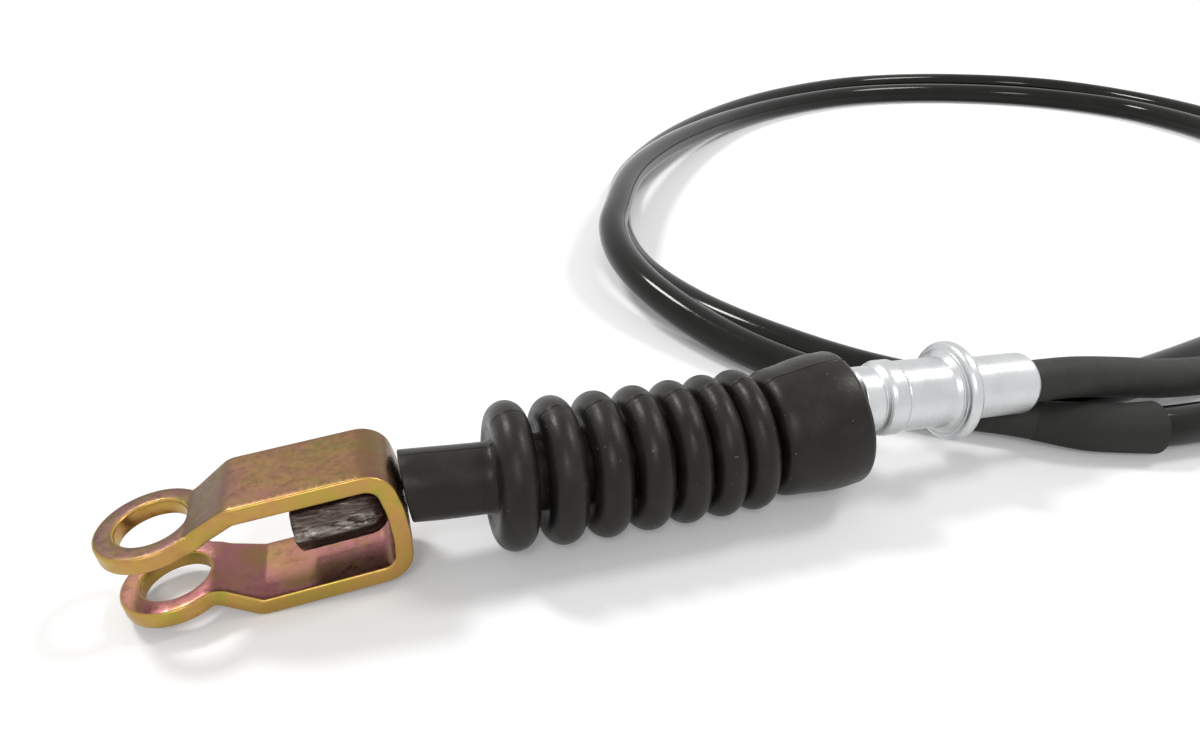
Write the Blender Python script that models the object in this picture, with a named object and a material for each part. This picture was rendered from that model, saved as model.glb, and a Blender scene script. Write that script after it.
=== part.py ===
"""Throttle cable: a sheathed pull cable with a folded clevis at one end.

The cable's near end lies along X, clevis first, on the plane Z = 0.
Stations along it are counted from the clevis eyes' centre.
The casing leaves the front ferrule, lies in two loose turns and ends in a
threaded ferrule with its own short wire.
"""

import math

import bmesh
import bpy
from mathutils import Vector

MM = 0.001

# Fits
FIT = 0.3 * MM            # clearance between pieces that touch

# Clevis, folded from flat strip
STRIP = 2.35 * MM         # strip thickness
STRIP_WIDTH = 11.3 * MM
ARM_GAP = 12.2 * MM       # between the arms, where the wire's head sits
EYE_GAP = 6.4 * MM        # between the eyes, where the lever goes
EYE_RADIUS = 6.6 * MM
PIN_HOLE = 4.15 * MM      # radius, for an 8 mm clevis pin
WAIST_WIDTH = 9.4 * MM    # narrowest place behind the eyes
CLEVIS_LENGTH = 29.5 * MM # eye centre to the web's outer face
JOGGLE_START = 4.6 * MM
JOGGLE_END = 9.8 * MM
FOLD_RADIUS = 2.9 * MM    # middle of the strip, at the web
JOGGLE_RADIUS = 1.8 * MM
WEB_BOW = 0.8 * MM
WEB_HOLE = 2.2 * MM       # radius
CLEVIS_PITCH = math.radians(5.5)
EYE_HEIGHT = 7.5 * MM     # eye centre above the floor

# Crimped head of the inner wire
HEAD_RADIUS = 3.6 * MM
HEAD_LENGTH = 11.4 * MM
HEAD_TAPER = 2.3 * MM
HEAD_FLAT = 0.9           # distance across flats over distance across corners
WIRE_RADIUS = 1.0 * MM
WIRE_GRIP = 8.0 * MM      # length of wire inside its crimped head

# Rubber boot: stations along the cable, radii from its own sagging axis
BOOT_WALL = 1.3 * MM
NOSE_RADIUS = 4.8 * MM
NOSE_BORE = 3.0 * MM
NOSE_ROUND = 0.9 * MM
NOSE_HEIGHT = 12.0 * MM   # axis above the floor at the nose
FIRST_RING = 13.1 * MM    # nose front to the first ring's middle
RINGS = 7
RING_RADIUS = 10.1 * MM
FIRST_PITCH = 6.4 * MM    # the rings draw together towards the cuff
LAST_PITCH = 4.8 * MM
RING_HALF_WIDTH = 2.6 * MM
RING_SPACE = 0.35 * MM    # least air between two rings
ROOT_RADIUS = 5.2 * MM    # outside of the tube between rings
CUFF_LENGTH = 13.2 * MM
CUFF_RADIUS = 9.9 * MM
CUFF_BORE = 8.0 * MM
CUFF_ROUND = 1.2 * MM
SAG_STATION = 68.0 * MM   # where the boot lies lowest
CUFF_HEIGHT = 11.4 * MM   # axis above the floor at the cuff's rim

# Front ferrule: turned, lengths counted from the flange's front face
FLANGE_STATION = 109.0 * MM
FLANGE_HEIGHT = 12.8 * MM
FERRULE_PITCH = math.radians(3.5)
FERRULE_NOSE = 20.0 * MM  # ferrule mouth to the flange
NOSE_PILOT = 4.0 * MM     # slimmer front end inside the boot
PILOT_RADIUS = 4.1 * MM
BARREL_RADIUS = 4.9 * MM
BEAD_RADIUS = 5.6 * MM
BEAD_START = 11.9 * MM
BEAD_END = 8.7 * MM
NECK_RADIUS = 5.25 * MM
FLANGE_RADIUS = 7.5 * MM
FLANGE_WIDTH = 2.2 * MM
FLANGE_ROUND = 0.9 * MM
CRIMP_RADIUS = 4.75 * MM  # rear cylinder, crimped on the casing
CRIMP_LENGTH = 12.7 * MM
CRIMP_ROUND = 1.2 * MM
FERRULE_BORE = 2.0 * MM
SEAL_SEAT = 3.2 * MM      # radius of the seal's seat in the mouth
SEAL_DEPTH = 3.0 * MM
WIRE_INSIDE = 10.0 * MM   # wire past the flange's front face

# Casing
CASING_RADIUS = 3.3 * MM
CASING_STEP = 19.5 * MM
CASING_LEAD = 8.0 * MM     # straight out of each ferrule
SLEEVE_WALL = 0.4 * MM
SLEEVE_LENGTH = 18.0 * MM
SLEEVE_END = 43.5 * MM    # from the sleeve's cut end to the casing's far end

# Rear ferrule, counted from its face at the casing
REAR_COLLAR = 14.0 * MM
SHANK_LENGTH = 38.0 * MM
SHANK_RADIUS = 3.9 * MM
NUT_WIDTH = 13.0 * MM     # across flats
NUT_THICKNESS = 6.4 * MM
NUT_PLACE = 10.0 * MM     # collar to the first nut
WASHER_RADIUS = 6.4 * MM
WASHER_THICKNESS = 0.9 * MM
CAP_OVERLAP = 6.0 * MM    # rubber cap over the shank's end
CAP_LENGTH = 10.0 * MM
CAP_WALL = 1.2 * MM
REAR_WIRE_OUT = 24.0 * MM # cap to the rear terminal
REAR_WIRE_IN = 26.0 * MM  # wire inside the shank
REAR_HEAD_RADIUS = 3.2 * MM
REAR_HEAD_LENGTH = 9.0 * MM
REAR_HEAD_GRIP = 6.0 * MM

ROUND_STEPS = 28
FINE_STEPS = 20
CURVE_PARTS = 24          # steps between two points of a route

# Turned ends reach furthest at these points, and the origin lies midway
LEFT_REACH = -(EYE_RADIUS * math.cos(CLEVIS_PITCH)
               + (EYE_GAP / 2 + STRIP) * math.sin(CLEVIS_PITCH))
FERRULE_REAR = FLANGE_WIDTH + CRIMP_LENGTH
RIGHT_REACH = (FLANGE_STATION
               + (FERRULE_REAR - CRIMP_ROUND) * math.cos(FERRULE_PITCH)
               + (CRIMP_RADIUS - CRIMP_ROUND) * math.sin(FERRULE_PITCH)
               + CRIMP_ROUND)
EYE_X = -(LEFT_REACH + RIGHT_REACH) / 2
EYE = Vector((EYE_X, 0.0, EYE_HEIGHT))
CABLE_DIRECTION = Vector((math.cos(CLEVIS_PITCH), 0.0, math.sin(CLEVIS_PITCH)))
FLANGE = Vector((EYE_X + FLANGE_STATION, 0.0, FLANGE_HEIGHT))
FERRULE_DIRECTION = Vector((math.cos(FERRULE_PITCH), 0.0, -math.sin(FERRULE_PITCH)))

# The casing's route, chosen by hand: it leaves the front ferrule, comes down
# to the floor, and lies in two turns, the second partly on the first.
ROUTE_MM = [
    (85, 0.2, 9.5), (94, 0.5, 7.6), (104, 1.2, 6.1), (114, 1.8, 5.0), (125, 2.6, 4.1),
    (139, 4.4, 3.5), (161, 9.5, 3.5), (211, 37, 3.5), (249, 84, 3.5), (268, 138, 3.5), (266, 174, 3.5),
    (251, 206, 3.5), (217, 228, 3.5), (178, 234.5, 3.5), (135.5, 223, 3.5), (92, 195, 3.5), (61, 163, 3.5),
    (44.5, 138, 3.5), (35.5, 115, 3.5), (30.3, 95, 3.5), (29.3, 76, 3.5), (33.7, 56, 3.5), (43, 37, 3.5),
    (54, 22, 3.5), (63, 14, 3.5), (73, 8.6, 3.5), (80, 6.3, 3.5), (86.5, 5.6, 3.5), (94, 6.3, 3.5),
    (104, 8.0, 3.5), (114, 10, 3.5),
    (136, 15.5, 3.5), (161, 24.5, 3.5), (201, 50, 3.5), (236, 90, 3.5), (255, 141, 3.5), (251, 169, 3.5),
    (234, 193, 3.5), (204, 211, 3.5), (168, 217.5, 3.5), (128, 208, 3.5), (105, 195, 4.1), (82, 175, 5.9),
    (57, 146, 8.6), (41, 121.5, 10.3), (31, 100.5, 10.5), (25.4, 86.5, 10.0), (23.6, 74, 8.8), (24.7, 62, 7.3),
    (28.3, 50.5, 5.7), (33.3, 39.5, 4.4), (39.2, 29.3, 3.8), (46.5, 19, 3.8), (54.5, 11, 3.8), (62, 5.6, 3.9),
    (67, 2.2, 4.1), (72.4, -1.6, 4.1), (79, -4.9, 4.1), (86.7, -7.1, 4.1), (96, -7.9, 4.0), (106, -8.6, 4.1),
    (114, -9.9, 5.1),
]
REAR_FACE = Vector((129.8, -11.0, 6.7)) * MM


# Materials

def material(name, colour, roughness, metallic=0.0):
    made = bpy.data.materials.new(name)
    made.use_nodes = True
    shader = made.node_tree.nodes["Principled BSDF"]
    shader.inputs["Base Color"].default_value = (*colour, 1.0)
    shader.inputs["Roughness"].default_value = roughness
    shader.inputs["Metallic"].default_value = metallic
    return made


def make_materials():
    return {
        "plated": material("yellow_zinc", (0.52, 0.36, 0.16), 0.35, 1.0),
        "steel": material("worn_steel", (0.16, 0.15, 0.14), 0.45, 0.9),
        "wire": material("wire_steel", (0.45, 0.45, 0.46), 0.35, 1.0),
        "bright": material("bright_zinc", (0.72, 0.74, 0.76), 0.25, 1.0),
        "rubber": material("black_rubber", (0.018, 0.018, 0.018), 0.62),
        "casing": material("black_casing", (0.012, 0.012, 0.013), 0.3),
        "sleeve": material("matte_sleeve", (0.02, 0.02, 0.02), 0.75),
        "liner": material("white_liner", (0.75, 0.75, 0.72), 0.4),
    }


# Mesh helpers

def clear_scene():
    for item in list(bpy.data.objects):
        bpy.data.objects.remove(item, do_unlink=True)


def add_object(name, data, look):
    made = bpy.data.objects.new(name, data)
    data.materials.append(look)
    bpy.context.scene.collection.objects.link(made)
    return made


def finish_mesh(name, shape, look, sharp_degrees=35.0):
    bmesh.ops.recalc_face_normals(shape, faces=shape.faces)
    mesh = bpy.data.meshes.new(name)
    shape.to_mesh(mesh)
    shape.free()
    mesh.shade_smooth()
    mesh.set_sharp_from_angle(angle=math.radians(sharp_degrees))
    return add_object(name, mesh, look)


def straight_axis(place):
    """A station on the X axis, square to it."""
    return Vector((place, 0.0, 0.0)), 0.0


def turned(name, outline, look, axis=straight_axis, steps=ROUND_STEPS, flat=None):
    """Turn a closed outline of (place, radius) points round an axis in the XZ plane."""
    shape = bmesh.new()
    rings = []
    for place, radius in outline:
        centre, lean = axis(place)
        up = Vector((-math.sin(lean), 0.0, math.cos(lean)))
        side = Vector((0.0, 1.0, 0.0))
        if radius == 0.0:
            rings.append([shape.verts.new(centre)])
            continue
        ring = []
        for step in range(steps):
            turn = 2 * math.pi * step / steps
            reach = radius * (flat(turn) if flat else 1.0)
            ring.append(shape.verts.new(centre + reach * (math.cos(turn) * up + math.sin(turn) * side)))
        rings.append(ring)
    pairs = list(zip(rings, rings[1:] + rings[:1]))
    for first, second in pairs:
        join_rings(shape, first, second)
    return finish_mesh(name, shape, look)


def join_rings(shape, first, second):
    if len(first) == 1 and len(second) == 1:
        return
    count = max(len(first), len(second))
    for step in range(count):
        after = (step + 1) % count
        if len(first) == 1:
            shape.faces.new((first[0], second[step], second[after]))
        elif len(second) == 1:
            shape.faces.new((first[step], second[0], first[after]))
        else:
            shape.faces.new((first[step], second[step], second[after], first[after]))


def arc(centre, radius, start_degrees, end_degrees, steps):
    """Points on an arc of (place, radius) or (x, y) pairs."""
    points = []
    for step in range(steps + 1):
        turn = math.radians(start_degrees + (end_degrees - start_degrees) * step / steps)
        points.append((centre[0] + radius * math.cos(turn), centre[1] + radius * math.sin(turn)))
    return points


def rounded(points, radii, steps=5):
    """Round the inner corners of a flat path with arcs."""
    path = [Vector(points[0])]
    for before, corner, after, radius in zip(points, points[1:], points[2:], radii):
        corner = Vector(corner)
        back = (Vector(before) - corner).normalized()
        ahead = (Vector(after) - corner).normalized()
        half = back.angle(ahead) / 2
        bisector = (back + ahead).normalized()
        centre = corner + bisector * (radius / math.sin(half))
        start = corner + back * (radius / math.tan(half)) - centre
        end = corner + ahead * (radius / math.tan(half)) - centre
        sweep = start.angle(end)
        turn_sign = 1.0 if start.x * end.y - start.y * end.x > 0 else -1.0
        for step in range(steps + 1):
            turn = turn_sign * sweep * step / steps
            spun = Vector((start.x * math.cos(turn) - start.y * math.sin(turn),
                           start.x * math.sin(turn) + start.y * math.cos(turn)))
            path.append(centre + spun)
    path.append(Vector(points[-1]))
    return path


def thickened(path, thickness):
    """The outline of a strip whose middle follows a flat path."""
    left = []
    right = []
    for index, point in enumerate(path):
        before = path[max(index - 1, 0)]
        after = path[min(index + 1, len(path) - 1)]
        along = (after - before).normalized()
        normal = Vector((-along.y, along.x))
        left.append(point + normal * thickness / 2)
        right.append(point - normal * thickness / 2)
    return left + right[::-1]


def extruded(name, outline, look, low, high, plane="XZ"):
    """Extrude a flat outline along the axis square to its plane."""
    shape = bmesh.new()
    ends = []
    for level in (low, high):
        ring = []
        for point in outline:
            place = (point[0], level, point[1]) if plane == "XZ" else (point[0], point[1], level)
            ring.append(shape.verts.new(place))
        ends.append(ring)
    shape.faces.new(ends[0])
    shape.faces.new(ends[1])
    join_rings(shape, ends[0], ends[1])
    return finish_mesh(name, shape, look)


def hide_tool(tool):
    tool.hide_render = True
    tool.display_type = "WIRE"


def shape_with(target, tool, operation):
    """Cut or trim a solid with another, which stays hidden."""
    change = target.modifiers.new(tool.name, "BOOLEAN")
    change.operation = operation
    change.solver = "EXACT"
    change.object = tool
    hide_tool(tool)


# Clevis

def clevis_section():
    """Middle line of the folded strip, from the lower eye round the web to the upper."""
    eye_level = (EYE_GAP + STRIP) / 2
    arm_level = (ARM_GAP + STRIP) / 2
    web = CLEVIS_LENGTH - STRIP / 2
    half_bow = WEB_BOW / 2
    points = [
        (-2 * EYE_RADIUS, -eye_level),
        (JOGGLE_START, -eye_level),
        (JOGGLE_END, -arm_level),
        (web - WEB_BOW, -arm_level),
        (web - half_bow * 0.2, -arm_level * 0.3),
        (web - half_bow * 0.2, arm_level * 0.3),
        (web - WEB_BOW, arm_level),
        (JOGGLE_END, arm_level),
        (JOGGLE_START, eye_level),
        (-2 * EYE_RADIUS, eye_level),
    ]
    radii = [JOGGLE_RADIUS, JOGGLE_RADIUS, FOLD_RADIUS, 2 * FOLD_RADIUS, 2 * FOLD_RADIUS,
             FOLD_RADIUS, JOGGLE_RADIUS, JOGGLE_RADIUS]
    return thickened(rounded(points, radii), STRIP)


def clevis_plan():
    """Outline of the flat strip seen from above: round eye, waist and straight arm."""
    half = STRIP_WIDTH / 2
    waist = WAIST_WIDTH / 2
    eye = arc((0.0, 0.0), EYE_RADIUS, 52, 308, 26)
    far = CLEVIS_LENGTH + STRIP
    shoulder = [(JOGGLE_START + 0.6 * MM, waist), (JOGGLE_END, half), (far, half)]
    upper = rounded([eye[0]] + shoulder, [2.4 * MM, 3.5 * MM])[1:]
    lower = [Vector((point.x, -point.y)) for point in upper]
    return [Vector(point) for point in eye] + lower + upper[::-1]


def make_clevis(looks):
    clevis = extruded("clevis", clevis_section(), looks["plated"], -STRIP_WIDTH, STRIP_WIDTH)
    height = ARM_GAP
    plan = extruded("clevis_plan", clevis_plan(), looks["plated"], -height, height, plane="XY")
    pin_hole = extruded("pin_hole", arc((0.0, 0.0), PIN_HOLE, 0, 345, 23), looks["plated"],
                        -height, height, plane="XY")
    web_start = CLEVIS_LENGTH - 2 * STRIP
    web_stop = CLEVIS_LENGTH + STRIP
    web_hole = turned("web_hole", [(web_start, 0.0), (web_start, WEB_HOLE), (web_stop, WEB_HOLE), (web_stop, 0.0)],
                      looks["plated"], steps=FINE_STEPS)
    shape_with(clevis, plan, "INTERSECT")
    shape_with(clevis, pin_hole, "DIFFERENCE")
    shape_with(clevis, web_hole, "DIFFERENCE")
    for piece in (clevis, plan, pin_hole, web_hole):
        stand_on_cable(piece)


def stand_on_cable(piece):
    """Tilt a piece modelled along X about the eyes' centre, on the swivel's axis."""
    piece.location = EYE
    piece.rotation_euler = (0.0, -CLEVIS_PITCH, 0.0)


# Inner wire and its head

def web_inner():
    return CLEVIS_LENGTH - STRIP


def head_flats(turn):
    """Six crimped flats with rounded corners."""
    sector = math.radians(60)
    off_flat = abs((turn + sector / 2) % sector - sector / 2)
    return min(1.0, HEAD_FLAT / math.cos(off_flat))


def make_terminal(looks):
    back = web_inner() - FIT
    front = back - HEAD_LENGTH
    bore = WIRE_RADIUS + FIT
    outline = [
        (front, 0.0), (front, HEAD_RADIUS - 0.4 * MM), (front + 0.4 * MM, HEAD_RADIUS),
        (back - HEAD_TAPER, HEAD_RADIUS), (back - 0.3 * HEAD_TAPER, HEAD_RADIUS * 0.8),
        (back, HEAD_RADIUS * 0.62), (back, bore), (back - WIRE_GRIP, bore), (back - WIRE_GRIP, 0.0),
    ]
    head = turned("wire_terminal", outline, looks["steel"], steps=24, flat=head_flats)
    stand_on_cable(head)


def wire_route():
    """The wire runs from its head through the web, along the sagging boot, into the ferrule."""
    route = []
    for station in (web_inner() - WIRE_GRIP, web_inner() - WIRE_GRIP / 2, web_inner(), CLEVIS_LENGTH + STRIP):
        route.append(EYE + CABLE_DIRECTION * station)
    mouth = FLANGE - FERRULE_DIRECTION * FERRULE_NOSE
    start = route[-1]
    for share, lift in ((0.28, 0.1), (0.5, 0.22), (0.68, 0.42), (0.86, 0.8)):
        route.append(Vector((start.x + share * (mouth.x - start.x), 0.0, start.z + lift * (mouth.z - start.z))))
    for station in (-FERRULE_NOSE - FIT, -FERRULE_NOSE / 2, 0.0, WIRE_INSIDE):
        route.append(FLANGE + FERRULE_DIRECTION * station)
    return route


def smooth_curve(route):
    """A smooth curve through the route's points, in many short steps."""
    dense = []
    count = len(route)
    for index in range(count - 1):
        before = route[max(index - 1, 0)]
        start = route[index]
        end = route[index + 1]
        after = route[min(index + 2, count - 1)]
        span = (end - start).length
        back_span = max((start - before).length, span * 0.01)
        next_span = max((after - end).length, span * 0.01)
        leave = tangent(before, start, end, back_span, span, index == 0)
        arrive = tangent(start, end, after, span, next_span, index == count - 2)
        for part in range(CURVE_PARTS):
            dense.append(hermite(start, end, leave * span, arrive * span, part / CURVE_PARTS))
    dense.append(route[-1])
    return dense


def tangent(before, here, after, back_span, next_span, at_end):
    if at_end:
        return (after - before) / (after - before).length
    back = (here - before) / back_span
    ahead = (after - here) / next_span
    return (back * next_span + ahead * back_span) / (back_span + next_span)


def hermite(start, end, leave, arrive, share):
    square = share * share
    cube = square * share
    return ((2 * cube - 3 * square + 1) * start + (cube - 2 * square + share) * leave
            + (3 * square - 2 * cube) * end + (cube - square) * arrive)


def even_steps(dense, step):
    lengths = [0.0]
    for first, second in zip(dense, dense[1:]):
        lengths.append(lengths[-1] + (second - first).length)
    count = max(2, round(lengths[-1] / step))
    points = []
    index = 0
    for number in range(count + 1):
        wanted = lengths[-1] * number / count
        while index < len(dense) - 2 and lengths[index + 1] < wanted:
            index += 1
        share = (wanted - lengths[index]) / (lengths[index + 1] - lengths[index])
        points.append(dense[index].lerp(dense[index + 1], min(max(share, 0.0), 1.0)))
    return points


def tube(name, points, radius, look, resolution):
    """A solid round cord along a list of points."""
    curve = bpy.data.curves.new(name, "CURVE")
    curve.dimensions = "3D"
    curve.bevel_depth = radius
    curve.bevel_resolution = resolution
    curve.use_fill_caps = True
    spline = curve.splines.new("POLY")
    spline.points.add(len(points) - 1)
    for place, point in zip(spline.points, points):
        place.co = (*point, 1.0)
    spline.use_smooth = True
    return add_object(name, curve, look)


def make_inner_wire(looks):
    tube("inner_wire", even_steps(smooth_curve(wire_route()), 5 * WIRE_RADIUS), WIRE_RADIUS, looks["wire"], 2)


# Boot

def nose_station():
    return CLEVIS_LENGTH * math.cos(CLEVIS_PITCH) + 2 * FIT


def ring_stations():
    """Middles of the rings, whose pitch shrinks evenly towards the cuff."""
    stations = [nose_station() + FIRST_RING]
    for gap in range(RINGS - 1):
        pitch = FIRST_PITCH + (LAST_PITCH - FIRST_PITCH) * gap / (RINGS - 2)
        stations.append(stations[-1] + pitch)
    return stations


def cuff_start():
    return ring_stations()[-1] + RING_HALF_WIDTH + RING_SPACE


def boot_axis(station):
    """The boot sags between its nose and its cuff, and its nose stands square to the web."""
    front = nose_station()
    rim = cuff_start() + CUFF_LENGTH
    low = RING_RADIUS
    from_low = station - SAG_STATION
    if from_low < 0:
        bend = (NOSE_HEIGHT - low) / (SAG_STATION - front) ** 2
    else:
        bend = (CUFF_HEIGHT - low) / (rim - SAG_STATION) ** 2
    height = low + bend * from_low ** 2
    lean = math.atan(2 * bend * from_low)
    square_share = max(0.0, 1.0 - (station - front) / NOSE_RADIUS)
    lean += (CLEVIS_PITCH - lean) * min(square_share, 1.0)
    return Vector((EYE_X + station, 0.0, height)), lean


def ring_half_widths(stations):
    """Each ring is as wide as its closest neighbour allows."""
    widths = []
    for index, station in enumerate(stations):
        gaps = [abs(other - station) for other in stations[max(index - 1, 0):index + 2] if other != station]
        widths.append(min(RING_HALF_WIDTH, (min(gaps) - RING_SPACE) / 2))
    return widths


def boot_outline():
    front = nose_station()
    stations = ring_stations()
    widths = ring_half_widths(stations)
    cuff = cuff_start()
    rim = cuff + CUFF_LENGTH
    outline = [(front, NOSE_BORE)]
    outline += arc((front + NOSE_ROUND, NOSE_RADIUS - NOSE_ROUND), NOSE_ROUND, 180, 90, 3)
    outline.append((stations[0] - widths[0] - 0.4 * MM, NOSE_RADIUS))
    for station, width in zip(stations, widths):
        outline.append((station - 0.8 * width, ROOT_RADIUS))
        outline += [(station + place, radius)
                    for place, radius in arc((0.0, RING_RADIUS - width), width, 195, -15, 6)]
        outline.append((station + 0.8 * width, ROOT_RADIUS))
    outline += [
        (cuff, ROOT_RADIUS + 0.5 * MM), (cuff, CUFF_RADIUS - 1.5 * MM), (cuff + 0.8 * MM, CUFF_RADIUS - 0.5 * MM),
        (cuff + CUFF_LENGTH * 0.5, CUFF_RADIUS),
    ]
    outline += arc((rim - CUFF_ROUND, CUFF_RADIUS - CUFF_ROUND), CUFF_ROUND, 90, 0, 4)
    outline += [(rim, CUFF_BORE), (cuff + 2 * BOOT_WALL, CUFF_BORE), (cuff + BOOT_WALL, ROOT_RADIUS - BOOT_WALL)]
    root = ROOT_RADIUS - BOOT_WALL
    for station, width in reversed(list(zip(stations, widths))):
        hollow = width - BOOT_WALL
        crown = RING_RADIUS - BOOT_WALL
        outline += [
            (station + hollow, root), (station + 0.6 * hollow, crown),
            (station - 0.6 * hollow, crown), (station - hollow, root),
        ]
    outline.append((stations[0] - widths[0], NOSE_BORE))
    return outline


def make_boot(looks):
    turned("dust_boot", boot_outline(), looks["rubber"], axis=boot_axis)


# Front ferrule

def ferrule_axis(place):
    return FLANGE + FERRULE_DIRECTION * place, -FERRULE_PITCH


def make_front_ferrule(looks):
    mouth = -FERRULE_NOSE
    rear = FERRULE_REAR
    seat_end = mouth + SEAL_DEPTH
    outline = [
        (mouth, SEAL_SEAT), (mouth, PILOT_RADIUS - 0.3 * MM), (mouth + 0.3 * MM, PILOT_RADIUS),
        (mouth + NOSE_PILOT, PILOT_RADIUS), (mouth + NOSE_PILOT + 0.6 * MM, BARREL_RADIUS),
        (-BEAD_START, BARREL_RADIUS),
    ]
    bead = BEAD_RADIUS - BARREL_RADIUS
    outline += arc((-BEAD_START + 1.3 * bead, BARREL_RADIUS), bead, 150, 90, 3)
    outline += [(-BEAD_END - 0.5 * bead, BEAD_RADIUS), (-BEAD_END, BEAD_RADIUS - 0.3 * bead)]
    outline += [(-BEAD_END, NECK_RADIUS), (-1.6 * MM, NECK_RADIUS), (-0.6 * MM, NECK_RADIUS + 0.4 * MM)]
    outline += [(0.0, NECK_RADIUS + 1.0 * MM)]
    outline += arc((FLANGE_ROUND, FLANGE_RADIUS - FLANGE_ROUND), FLANGE_ROUND, 180, 90, 4)
    outline += arc((FLANGE_WIDTH - FLANGE_ROUND, FLANGE_RADIUS - FLANGE_ROUND), FLANGE_ROUND, 90, 0, 4)
    outline += [(FLANGE_WIDTH, CRIMP_RADIUS)]
    outline += arc((rear - CRIMP_ROUND, CRIMP_RADIUS - CRIMP_ROUND), CRIMP_ROUND, 90, 0, 4)
    outline += [(rear, FERRULE_BORE), (seat_end, FERRULE_BORE), (seat_end, SEAL_SEAT)]
    turned("front_ferrule", outline, looks["bright"], axis=ferrule_axis)


def ring_outline(start, end, inner, outer):
    return [(start, inner), (start, outer), (end, outer), (end, inner)]


def make_ferrule_inside(looks):
    hole = WIRE_RADIUS + FIT
    mouth = -FERRULE_NOSE
    turned("wiper_seal", ring_outline(mouth + FIT, mouth + SEAL_DEPTH - FIT, hole, SEAL_SEAT - FIT),
           looks["rubber"], axis=ferrule_axis, steps=FINE_STEPS)
    turned("front_liner", ring_outline(mouth + SEAL_DEPTH + FIT, FERRULE_REAR - FIT, hole, FERRULE_BORE - FIT),
           looks["liner"], axis=ferrule_axis, steps=FINE_STEPS)


# Casing and sleeve

def casing_points():
    """Straight out of the front ferrule, along the route, and straight into the rear one."""
    start = FLANGE + FERRULE_DIRECTION * (FERRULE_REAR + FIT)
    end = REAR_FACE - Vector((FIT, 0.0, 0.0))
    leads = (start + FERRULE_DIRECTION * CASING_LEAD, end - Vector((CASING_LEAD, 0.0, 0.0)))
    route = [start, leads[0]] + [Vector(point) * MM for point in ROUTE_MM] + [leads[1], end]
    free = smooth_curve(route)[CURVE_PARTS:-CURVE_PARTS]
    return [start] + even_steps(free, CASING_STEP) + [end]


def make_casing(looks):
    tube("conduit", casing_points(), CASING_RADIUS, looks["casing"], 4)


def stretch_of(points, start, end):
    """The part of a run of points between two lengths from its far end."""
    backward = points[::-1]
    walked = 0.0
    found = []
    for first, second in zip(backward, backward[1:]):
        span = (second - first).length
        for wanted in (start, end):
            if walked <= wanted < walked + span:
                found.append((wanted, first.lerp(second, (wanted - walked) / span)))
        walked += span
        if start < walked < end:
            found.append((walked, second))
    return [place for walked, place in sorted(found, key=lambda pair: pair[0])]


def make_sleeve(looks):
    """A short sleeve of even wall round the casing, cut square at its ends."""
    path = stretch_of(casing_points(), SLEEVE_END, SLEEVE_END + SLEEVE_LENGTH)
    inner = CASING_RADIUS + FIT
    outer = inner + SLEEVE_WALL
    shape = bmesh.new()
    walls = []
    for index, centre in enumerate(path):
        into = centre - path[index - 1] if index > 0 else path[1] - centre
        away = path[index + 1] - centre if index < len(path) - 1 else into
        along = (into.normalized() + away.normalized()).normalized()
        side = along.cross(Vector((0.0, 0.0, 1.0))).normalized()
        up = side.cross(along)
        rings = []
        for radius in (inner, outer):
            ring = []
            for step in range(FINE_STEPS):
                turn = 2 * math.pi * step / FINE_STEPS
                ring.append(shape.verts.new(centre + radius * (math.cos(turn) * up + math.sin(turn) * side)))
            rings.append(ring)
        walls.append(rings)
    for (inner_a, outer_a), (inner_b, outer_b) in zip(walls, walls[1:]):
        join_rings(shape, inner_a, inner_b)
        join_rings(shape, outer_a, outer_b)
    join_rings(shape, *walls[0])
    join_rings(shape, *walls[-1])
    finish_mesh("conduit_sleeve", shape, looks["sleeve"])


# Rear end

def rear_axis(place):
    return REAR_FACE + Vector((place, 0.0, 0.0)), 0.0


def make_rear_ferrule(looks):
    shank_end = REAR_COLLAR + SHANK_LENGTH
    outline = [(0.0, FERRULE_BORE)]
    outline += arc((CRIMP_ROUND, CRIMP_RADIUS - CRIMP_ROUND), CRIMP_ROUND, 180, 90, 4)
    outline += [
        (REAR_COLLAR - 0.5 * MM, CRIMP_RADIUS), (REAR_COLLAR, CRIMP_RADIUS - 0.5 * MM), (REAR_COLLAR, SHANK_RADIUS),
        (shank_end - 0.5 * MM, SHANK_RADIUS), (shank_end, SHANK_RADIUS - 0.5 * MM), (shank_end, FERRULE_BORE),
    ]
    turned("rear_ferrule", outline, looks["bright"], axis=rear_axis)
    hole = WIRE_RADIUS + FIT
    turned("rear_liner", ring_outline(FIT, shank_end, hole, FERRULE_BORE - FIT), looks["liner"],
           axis=rear_axis, steps=FINE_STEPS)


def make_nut(name, start, looks):
    """A hexagon whose corners are turned off, with a plain bore for its thread."""
    corner = NUT_WIDTH / math.sqrt(3)
    hexagon = [(corner * math.cos(math.radians(60 * side)), corner * math.sin(math.radians(60 * side)))
               for side in range(6)]
    end = start + NUT_THICKNESS
    chamfer = corner - NUT_WIDTH / 2
    bore = SHANK_RADIUS + FIT
    outline = [
        (start, bore), (start, NUT_WIDTH / 2), (start + chamfer, corner + FIT),
        (end - chamfer, corner + FIT), (end, NUT_WIDTH / 2), (end, bore),
    ]
    nut = turned(name, outline, looks["bright"], axis=rear_axis)
    shape = bmesh.new()
    rings = []
    for place in (start - FIT, end + FIT):
        centre = rear_axis(place)[0]
        rings.append([shape.verts.new(centre + Vector((0.0, across, up))) for across, up in hexagon])
    shape.faces.new(rings[0])
    shape.faces.new(rings[1])
    join_rings(shape, rings[0], rings[1])
    prism = finish_mesh(name + "_hexagon", shape, looks["bright"])
    shape_with(nut, prism, "INTERSECT")


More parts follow.
